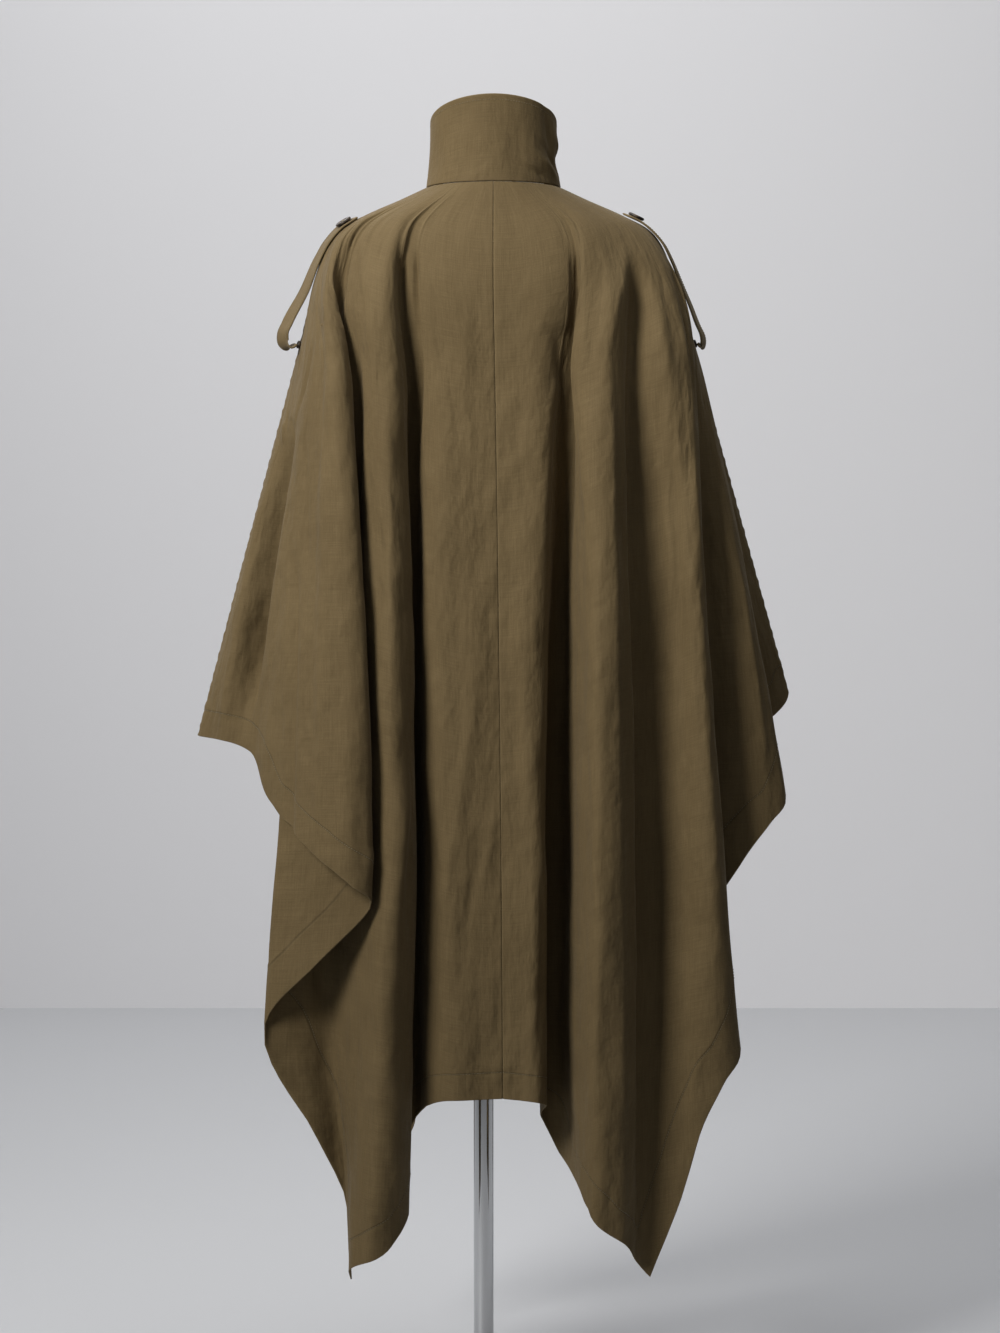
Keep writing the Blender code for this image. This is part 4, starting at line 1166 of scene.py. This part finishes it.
# Dents and bulges of the collar: its angle from the centre back in degrees, its height up
# the collar (0 to 1), its half sizes in degrees and share, its tilt, and its rise in mm.
Dent = namedtuple("Dent", "angle up half_angle half_up tilt rise")
DENTS = (
    Dent(-60, 0.66, 9, 0.26, 24, -3.6),
    Dent(-90, 0.40, 16, 0.15, -4, -4.2),
    Dent(-84, 0.62, 14, 0.13, 4, 2.2),
    Dent(-66, 0.34, 15, 0.055, 9, -3.2),
    Dent(-56, 0.24, 15, 0.050, 8, 3.0),
    Dent(-40, 0.13, 12, 0.045, 5, -2.2),
    Dent(-34, 0.20, 9, 0.040, 10, 1.5),
    Dent(-20, 0.45, 14, 0.16, 10, -1.0),
    Dent(34, 0.72, 20, 0.20, -8, -1.2),
    Dent(12, 0.10, 14, 0.05, -6, 0.6),
    Dent(60, 0.35, 16, 0.20, 8, -0.9),
    Dent(120, 0.5, 16, 0.25, 14, -1.6),
    Dent(-130, 0.45, 14, 0.25, -14, -1.5),
)


def smooth_ends(count, close):
    """Shares from 0 to 1, even in the middle and closer together at both ends."""
    near = np.array([0.0, 1.0, 2.6, 5.0]) * close
    middle = np.linspace(near[-1], 1.0 - near[-1], count - 2 * len(near) + 2)[1:-1]
    return np.concatenate([near, middle, 1.0 - near[::-1]])


def make_placket(cotton, thread):
    """The fly placket over the centre front, on the front panels' points."""
    places = np.linspace(1.0, 0.0, PLACKET_COLUMNS)
    columns = [column_points(1, LAST_LINE[1] - place, 1.0) for place in places]
    columns += [column_points(-1, LAST_LINE[-1] - place, 1.0) for place in places[-2::-1]]
    grid = np.array(columns)[:, 1:]
    normals = grid_normals(grid)
    across = run_along(grid[:, grid.shape[1] // 2])
    down = run_down(grid)
    up = down[:, -1:] - down
    from_side = side_distance(across, down)
    half = rounded(np.minimum(np.minimum(from_side, down), up), PLACKET_WALL / 2)
    ripple = pucker(from_side - PLACKET_PUCKER_AT, down, reach=8 * MM, pitch=15 * MM)
    middle = grid + normals * (PLACKET_OFF + PLACKET_WALL / 2 + ripple)[..., None]
    cloth = cloth_place(across[:, None], down)
    marks = np.stack([up, from_side, down], axis=-1)
    piece, outside, _ = make_cloth("front_placket", middle, normals, half, cloth, marks, cotton)
    line = int(np.argmin(np.abs(across - PLACKET_STITCH_AT)))
    return piece, make_stitches("placket", outside[line], normals[line], thread)


def neck_point(angle):
    """Point of the neck seam at an angle in degrees from the centre back, left positive."""
    behind = abs(angle) <= 90.0
    share = abs(angle) / 90.0 if behind else 2.0 - abs(angle) / 90.0
    height = NECK_HEIGHT
    if not behind:
        height -= NECK_FRONT_DROP * float(smooth_rise(1.0 - share))
    half_width, back, front = loop_at(YOKE, height)
    turn = math.radians(angle)
    depth = back if behind else front
    return np.array([COAT_X + half_width * math.sin(turn), depth * math.cos(turn), height])


def collar_top(angle):
    """Point of the collar's top edge at an angle in degrees from the centre back."""
    turn = math.radians(angle)
    rise = math.cos(turn)
    other = COLLAR_TOP_BACK if rise > 0.0 else COLLAR_TOP_FRONT
    height = COLLAR_TOP_SIDE + (other - COLLAR_TOP_SIDE) * abs(rise)
    return np.array([COAT_X + COLLAR_TOP_OUT * math.sin(turn), COLLAR_TOP_DEEP * rise, height])


def dent_rise(angle, up):
    """How far the collar's dents move it outwards, at an angle and a share of its height."""
    moved = np.zeros_like(up)
    for dent in DENTS:
        over = (angle - dent.angle) / dent.half_angle
        above = (up - dent.up - dent.tilt * MM * (angle - dent.angle)) / dent.half_up
        moved += dent.rise * MM * np.exp(-over ** 2 - above ** 2)
    return moved


def collar_line(angle, shares):
    """The collar's middle surface at an angle, at shares of its height from the seam."""
    folded = angle if angle <= 180.0 else angle - 360.0
    off = COLLAR_LAP_OFF * float(smooth_rise((angle - LAP_FROM) / LAP_OVER))
    facing = np.array([math.sin(math.radians(angle)), math.cos(math.radians(angle)), 0.0])
    low = neck_point(folded) + np.array([0.0, 0.0, SEAM_GAP])
    line = low + (collar_top(folded) - low) * shares[:, None]
    bow = COLLAR_BOW * np.sin(math.pi * shares)
    return line + facing * (off - bow - COLLAR_WALL / 2 + dent_rise(angle, shares))[:, None]


def make_collar(cotton, thread):
    """The doubled stand collar, whose left end laps over its right end at the front."""
    angles = -180.0 + (360.0 + COLLAR_LAP) * smooth_ends(COLLAR_COLUMNS, RIM_STEP / COLLAR_GIRTH)
    shares = smooth_ends(COLLAR_ROWS, RIM_STEP / COLLAR_HEIGHT)[::-1]
    middle = np.array([collar_line(angle, shares) for angle in angles])
    normals = grid_normals(middle)
    across = run_along(middle[:, COLLAR_ROWS // 2])
    down = run_down(middle)
    up = down[:, -1:] - down
    from_end = side_distance(across, down)
    from_rim = np.minimum(np.minimum(from_end, down), up)
    above_seam = np.minimum(from_end, down)
    groove = stitch_groove(above_seam, COLLAR_STITCH_AT, width=1.1 * MM, depth=0.35 * MM)
    half = rounded(from_rim, COLLAR_WALL / 2) - groove * (up > COLLAR_STITCH_AT)
    cloth = cloth_place(across[:, None], down)
    marks = np.stack([down + PAST_HEMS, from_rim, down + PAST_NECK], axis=-1)
    piece, outside, _ = make_cloth("collar", middle, normals, half, cloth, marks, cotton)
    row = int(np.argmin(np.abs(down[COLLAR_COLUMNS // 2] - COLLAR_STITCH_AT)))
    return piece, make_stitches("collar", outside[2:-2, row], normals[2:-2, row], thread)


# ---------------------------------------------------------------- straps and buttons
STRAP_TWIST = {1: 17, -1: 3}    # degrees that each strap turns to the back where it hangs free
STRAP_FREE_LIFT = 14            # millimetres off the cloth from which it hangs free
STRAP_ROWS, STRAP_COLUMNS = 150, 23
STRAP_TIP = 0.10                # share of its width at which a strap's point ends
STRAP_STITCH_AT = 3.2 * MM
STRAP_STITCH_START, STRAP_STITCH_STOP = 5 * MM, 3 * MM      # ends of its rows from its own
STRAP_STITCH_SUNK = 0.2 * MM
STRAP_WAVE = 0.35 * MM          # height of the slow wave along a strap's edges
STRAP_WAVE_TURNS = 95           # radians per metre
CREST_SEARCH = 6.0              # fold lines behind the overarm that are searched for a point
HALVINGS = 30
BUTTON_SIDES = 56
BUTTON_FACE = 0.70              # height of a button's sunk middle, as a share of its own
HOLE_PLACE = 0.20               # how far the holes lie off a button's axes, as a share
BAR_RADIUS = 0.65 * MM          # bars of thread between a button's holes
BAR_RISE = 0.7 * MM
BAR_RINGS, BAR_SIDES = 9, 10

# A button's turned profile: its radius as a share of the button's, and its height as one.
BUTTON_PROFILE = (
    (0.0, 0.0), (0.72, 0.0), (0.90, 0.10), (0.985, 0.30), (1.0, 0.50), (0.985, 0.74), (0.93, 0.92),
    (0.86, 1.0), (0.78, 0.985), (0.71, 0.90), (0.63, 0.78), (0.50, 0.72), (0.30, BUTTON_FACE),
    (0.0, BUTTON_FACE),
)


def crest_facing(side, height):
    """Direction that the overarm's crest faces at a height."""
    line = LINES[side][OVERARM_LINE[side]]
    step = 1.0 * MM
    higher, lower = line_point(line, np.array([height + step, height - step]))[:, 0]
    return unit(np.array([2.0 * step * side, 0.0, abs(lower - higher)]))


def cloth_beside_crest(side, height, behind):
    """Point of the cloth at a height, a little behind the overarm's crest."""
    near, far = OVERARM_LINE[side] - CREST_SEARCH, float(OVERARM_LINE[side])
    level = np.array([height])
    for _ in range(HALVINGS):
        middle = (near + far) / 2
        if plan_point(side, middle, level)[0, 1] > behind:
            near = middle
        else:
            far = middle
    plan = plan_point(side, far, level)[0]
    return np.array([plan[0] + COAT_X, plan[1], height])


def strap_seat(side, station):
    """Point of the cloth under a strap's station, its facing and the strap's own."""
    height, behind = station.height * MM, station.behind * MM
    facing = crest_facing(side, height)
    free = min(station.lift / STRAP_FREE_LIFT, 1.0)
    turn = math.radians(station.turn + STRAP_TWIST[side] * free)
    face = facing * math.cos(turn) + np.array([0.0, math.sin(turn), 0.0])
    return cloth_beside_crest(side, height, behind), facing, face


def strap_frames(side, stations):
    """Centre, width direction and outward direction at each step down a strap."""
    centres, faces = [], []
    for station in stations:
        seat, facing, face = strap_seat(side, station)
        centres.append(seat + facing * station.lift * MM)
        faces.append(face)
    centres = curve_through(centres, STRAP_ROWS)
    faces = curve_through(faces, STRAP_ROWS)
    along = unit(np.gradient(centres, axis=0))
    width = np.cross(faces, np.array([0.0, 0.0, -1.0]))
    across = unit(np.cross(along, np.cross(width, along)))
    return centres, across, np.cross(along, across)


def make_strap(word, side, stations, cotton, thread):
    """A shoulder strap with its edge stitching, and its centre line and directions."""
    centres, across, outward = strap_frames(side, stations)
    travelled = run_along(centres)
    half_width = STRAP_WIDTH / 2 * np.clip(
        STRAP_TIP + (1.0 - STRAP_TIP) * travelled / STRAP_POINT, STRAP_TIP, 1.0)
    fractions = 1.0 - 2.0 * smooth_ends(STRAP_COLUMNS, RIM_STEP / STRAP_WIDTH)[:, None]
    aside = half_width * fractions
    from_side = half_width * (1.0 - np.abs(fractions))
    from_rim = np.minimum(from_side, np.minimum(travelled, travelled[-1] - travelled))
    groove = stitch_groove(from_rim, STRAP_STITCH_AT, width=0.8 * MM, depth=0.25 * MM)
    half = rounded(from_rim, STRAP_WALL / 2) - groove
    wave = STRAP_WAVE * np.sin(STRAP_WAVE_TURNS * travelled) * fractions ** 2
    middle = centres + across * aside[..., None] + outward * wave[..., None]
    normals = outward + np.zeros_like(middle)
    cloth = cloth_place(aside, travelled + np.zeros_like(aside))
    marks = np.stack([from_rim + PAST_HEMS, from_rim, from_rim], axis=-1)
    piece, _, _ = make_cloth("strap_" + word, middle, normals, half, cloth, marks, cotton)
    keep = (travelled > STRAP_STITCH_START) & (travelled < travelled[-1] - STRAP_STITCH_STOP)
    inset = np.maximum(half_width - STRAP_STITCH_AT, 0.0)
    rows = []
    for edge, label in ((1.0, "a"), (-1.0, "b")):
        path = centres + across * (inset * edge)[:, None]
        path += outward * (STRAP_WALL / 2 - STRAP_STITCH_SUNK)
        name = "strap_%s_%s" % (word, label)
        rows.append(make_stitches(name, path[keep], outward[keep], thread))
    return piece, rows, (centres, outward, travelled)


def button_axes(facing):
    """Two directions across a button's face."""
    side = unit(np.cross(facing, np.array([0.0, 1.0, 0.0])))
    return side, np.cross(facing, side)


def make_button(node, centre, facing, radius, height, horn):
    """A turned horn button, its back at the centre point."""
    facing = unit(facing)
    spokes = round_spokes(*button_axes(facing), BUTTON_SIDES)
    rings = []
    for share, level in BUTTON_PROFILE:
        rings.append(centre + spokes * radius * max(share, POINT_SHARE) + facing * height * level)
    make_lathe(node + "_horn", rings, horn, node)


def make_button_threads(name, centre, facing, thread):
    """Two bars of thread between a button's four holes."""
    side, other = button_axes(facing)
    reach = BUTTON_RADIUS * HOLE_PLACE
    face = centre + facing * (BUTTON_HEIGHT * BUTTON_FACE)
    for number, edge in enumerate((-1.0, 1.0)):
        middle = face + other * reach * edge
        bar_name = "%s_%d" % (name, number)
        make_bar(bar_name, middle - side * reach, middle + side * reach, facing, thread)


def make_bar(name, start, end, up, thread):
    """A short raised bar of thread from one point to another."""
    shares = np.linspace(0.0, 1.0, BAR_RINGS)
    lift = BAR_RISE * np.sin(math.pi * shares)
    centre = start + (end - start) * shares[:, None] + up * lift[:, None]
    spokes = round_spokes(np.cross(up, unit(end - start)), up, BAR_SIDES)
    make_lathe(name, [point + spokes * BAR_RADIUS for point in centre], thread)


def make_straps(cotton, thread, horn):
    """Both shoulder straps with their buttons."""
    made = []
    for side, word, stations in ((1, "left", STRAP_LEFT), (-1, "right", STRAP_RIGHT)):
        piece, rows, (centres, outward, travelled) = make_strap(word, side, stations, cotton, thread)
        step = int(np.searchsorted(travelled, BUTTON_AT))
        facing = outward[step]
        seat = centres[step] + facing * (STRAP_WALL / 2 + TOUCH_GAP)
        make_button("button_" + word, seat, facing, BUTTON_RADIUS, BUTTON_HEIGHT, horn)
        make_button_threads("button_thread_" + word, seat, facing, thread)
        seat, _, face = strap_seat(side, stations[-1])
        seat = seat + face * LOOP_BUTTON_SHANK
        make_button("loop_button_" + word, seat, face, LOOP_BUTTON_RADIUS, LOOP_BUTTON_HEIGHT, horn)
        made.append((word, piece, rows))
    return made


# ---------------------------------------------------------------- the form and its stand
SHOULDER_HEIGHTS = (1420, 1435, 1448, 1460, 1472, 1481)     # of the form under the yoke, in mm
FORM_COLUMNS = 96
FORM_EDGE_TOP, FORM_EDGE_RINGS = 916, 12        # its rounded lower edge, in mm, and its rings
FORM_SIDE_FLOOR, FORM_SIDE_RINGS = 922, 110     # the rest of it
POLE_COLUMNS = 72
BASE_COLUMNS = 160
BASE_EDGE = 3.0 * MM            # radius of the base's rounded upper edge
BASE_EDGE_STEPS = 8
BASE_BEVEL_IN, BASE_BEVEL_UP = 0.6 * MM, 0.8 * MM   # its lower edge
BASE_RING = 0.6                 # share of its radius at which its top has one more ring
# Turned profiles: radius and height as shares of the piece's own.
CAP_PROFILE = (
    (0.90, 0.0), (0.97, 0.04), (1.0, 0.14), (1.0, 0.66), (0.985, 0.80), (0.94, 0.93), (0.86, 1.0),
    (0.40, 1.0), (POINT_SHARE, 1.0),
)
FERRULE_PROFILE = (
    (0.74, 0.0), (0.80, 0.01), (0.93, 0.07), (0.985, 0.12), (1.0, 0.18), (1.0, 0.96), (0.96, 1.0),
)


def make_form(linen, wood):
    """The linen-covered torso and the turned cap on its neck."""
    rings = list(FORM_BODY + FORM_NECK)
    for height in SHOULDER_HEIGHTS:
        sizes = loop_at(YOKE, height * MM + FORM_CLEAR)
        rings.append(Ring(height, *[(size - FORM_CLEAR) / MM for size in sizes]))
    floor, top = FORM_BODY[-1].height, FORM_NECK[0].height
    edge = np.linspace(floor, FORM_EDGE_TOP, FORM_EDGE_RINGS)
    heights = np.concatenate([edge, np.linspace(FORM_SIDE_FLOOR, top, FORM_SIDE_RINGS)]) * MM
    stack = [ellipse_ring(*loop_at(rings, height), height, FORM_COLUMNS, COAT_X) for height in heights]
    make_lathe("form_torso_cover", stack, linen, "form_torso")
    cap = []
    for share, level in CAP_PROFILE:
        sizes = [size * MM * share for size in FORM_NECK[0][1:]]
        height = top * MM + TOUCH_GAP + CAP_HEIGHT * level
        cap.append(ellipse_ring(*sizes, height, FORM_COLUMNS, COAT_X))
    make_lathe("form_neck_cap_turned", cap, wood, "form_neck_cap")


def make_turned(name, node, profile, columns, metal):
    """A turned piece on the pole's axis from its radii and heights."""
    rings = [ellipse_ring(radius, radius, radius, height, columns) for radius, height in profile]
    make_lathe(name, rings, metal, node)


def make_stand(chrome, steel):
    """The round base, the pole and the ferrule."""
    profile = [(BASE_RADIUS * POINT_SHARE, 0.0), (BASE_RADIUS - BASE_BEVEL_IN, 0.0),
               (BASE_RADIUS, BASE_BEVEL_UP)]
    for step in range(BASE_EDGE_STEPS + 1):
        turn = math.radians(90.0 * step / BASE_EDGE_STEPS)
        radius = BASE_RADIUS - BASE_EDGE * (1.0 - math.cos(turn))
        profile.append((radius, BASE_HEIGHT - BASE_EDGE * (1.0 - math.sin(turn))))
    profile += [(BASE_RADIUS * share, BASE_HEIGHT) for share in (BASE_RING, POINT_SHARE)]
    make_turned("stand_base_disc", "stand_base", profile, BASE_COLUMNS, steel)
    low = FORM_BODY[-1].height * MM - TOUCH_GAP - FERRULE_HEIGHT
    profile = [(POLE_RADIUS, BASE_HEIGHT + TOUCH_GAP), (POLE_RADIUS, low - TOUCH_GAP)]
    make_turned("stand_pole_tube", "stand_pole", profile, POLE_COLUMNS, chrome)
    profile = [(FERRULE_RADIUS * share, low + FERRULE_HEIGHT * level) for share, level in FERRULE_PROFILE]
    make_turned("stand_ferrule_collar", "stand_ferrule", profile, POLE_COLUMNS, chrome)


# ---------------------------------------------------------------- stage, light and camera
CAMERA_PLACE = (-0.0205, 3.55, 1.05)
CAMERA_DIP = 2.434              # degrees below the horizon
FOCAL_PIXELS = 2860             # focal length in pixels of the 1333 pixel high photograph
PHOTO_HEIGHT = 1333
FILM = 24.0                     # millimetres
STAGE_REACH, WALL_HEIGHT = 9, 7     # metres
WALL_Y = -2.9
AIR_LIGHT = 0.03
AIR_SEEN = 0.75

# Soft square lights: where each stands and aims, its size in metres, its spread in degrees,
# its power in watts and its colour.
Light = namedtuple("Light", "name place target size spread power colour")
LIGHTS = (
    Light("key", (2.2, 2.5, 3.0), (0.0, 0.0, 1.6), 1.3, 80, 37.0, (1.0, 0.98, 0.95)),
    Light("front_fill", (1.5, -2.6, 2.7), (0.0, 0.0, 1.1), 1.4, 60, 3.0, (1.0, 1.0, 1.0)),
    Light("fill", (-2.1, 2.5, 2.9), (0.0, 0.0, 1.75), 1.0, 40, 1.0, (1.0, 1.0, 1.0)),
    Light("wall_wash", (0.6, -0.6, 4.4), (0.0, -2.9, 0.6), 3.0, 180, 112.0, (1.0, 1.0, 1.0)),
)


def make_stage():
    """A pale floor with a pale wall standing on it."""
    floor = plain_material("pale_floor", (0.55, 0.56, 0.58), 0.55)
    wall = one_sided(plain_material("pale_wall", (0.74, 0.74, 0.76), 0.9))
    side, y, top = STAGE_REACH, WALL_Y, WALL_HEIGHT
    for name, corners, material in (
        ("studio_floor", ((-side, -side, 0), (side, -side, 0), (side, side, 0), (-side, side, 0)), floor),
        ("studio_wall", ((side, y, 0), (-side, y, 0), (-side, y, top), (side, y, top)), wall),
    ):
        link_object(name, new_mesh(name, corners, [(0, 1, 2, 3)], material))


def make_lights():
    """Soft studio light, strongest from the upper left of the picture."""
    world = bpy.data.worlds.new("studio_air")
    world.use_nodes = True
    tree = world.node_tree
    air = tree.nodes["Background"]
    set_inputs(tree, air, {"Color": (0.93, 0.95, 1.0, 1.0), "Strength": AIR_LIGHT})
    pale = add_node(tree, "Background", {"Color": (0.72, 0.73, 0.75, 1.0), "Strength": AIR_SEEN})
    seen = add_node(tree, "LightPath").outputs["Is Camera Ray"]
    both = add_node(tree, "MixShader", {0: seen, 1: air.outputs[0], 2: pale.outputs[0]})
    set_inputs(tree, tree.nodes["World Output"], {"Surface": both.outputs[0]})
    bpy.context.scene.world = world
    for light in LIGHTS:
        data = bpy.data.lights.new(light.name, "AREA")
        data.size = light.size
        data.spread = math.radians(light.spread)
        data.energy = light.power
        data.color = light.colour
        item = link_object(light.name, data)
        item.location = light.place
        aim = Vector(light.target) - Vector(light.place)
        item.rotation_euler = aim.to_track_quat("-Z", "Y").to_euler()


def make_camera():
    """The photograph's camera, level but for its slight dip."""
    data = bpy.data.cameras.new("photo_camera")
    data.sensor_width = FILM
    data.lens = FILM * FOCAL_PIXELS / PHOTO_HEIGHT
    item = link_object("photo_camera", data)
    item.location = CAMERA_PLACE
    item.rotation_euler = (math.radians(90.0 - CAMERA_DIP), 0.0, math.radians(180.0))
    bpy.context.scene.camera = item


# ---------------------------------------------------------------- whole scene
# The seams round the coat: each one's name and the quarters before and after it.
SEAMS = (
    ("back", "back_right", "back_left"),
    ("left", "back_left", "front_left"),
    ("front", "front_left", "front_right"),
    ("right", "front_right", "back_right"),
)


def make_quarters(cotton, thread):
    """The coat's four quarters by name, and the allowance of the seam that leads to each."""
    quarters = {}
    for side, word in ((1, "left"), (-1, "right")):
        lines = (0, OVERARM_LINE[side], LAST_LINE[side])
        for part, first, last in zip(("back_", "front_"), lines, lines[1:]):
            quarters[part + word] = make_quarter(part + word, side, first, last, cotton, thread)
    allowances = {}
    for seam, before, after in SEAMS:
        allowances[after] = make_allowance(seam, quarters[before], quarters[after], cotton)
    return quarters, allowances


def make_coat():
    """Every sewn piece of the coat."""
    cotton, thread, horn = cotton_material(), thread_material(), horn_material()
    quarters, allowances = make_quarters(cotton, thread)
    piece, stitches = make_placket(cotton, thread)
    piece, stitches = make_collar(cotton, thread)
    for word, piece, rows in make_straps(cotton, thread, horn):
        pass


make_coat()
make_form(linen_material(), wood_material())
make_stand(
    steel_material("chrome_tube", (1.0, 1.0, 0.02), 0.09, 0.17),
    steel_material("brushed_base", (1.0, 1.0, 8.0), 0.22, 0.34),
)
make_stage()
make_lights()
make_camera()
bpy.context.scene.view_settings.view_transform = "Standard"
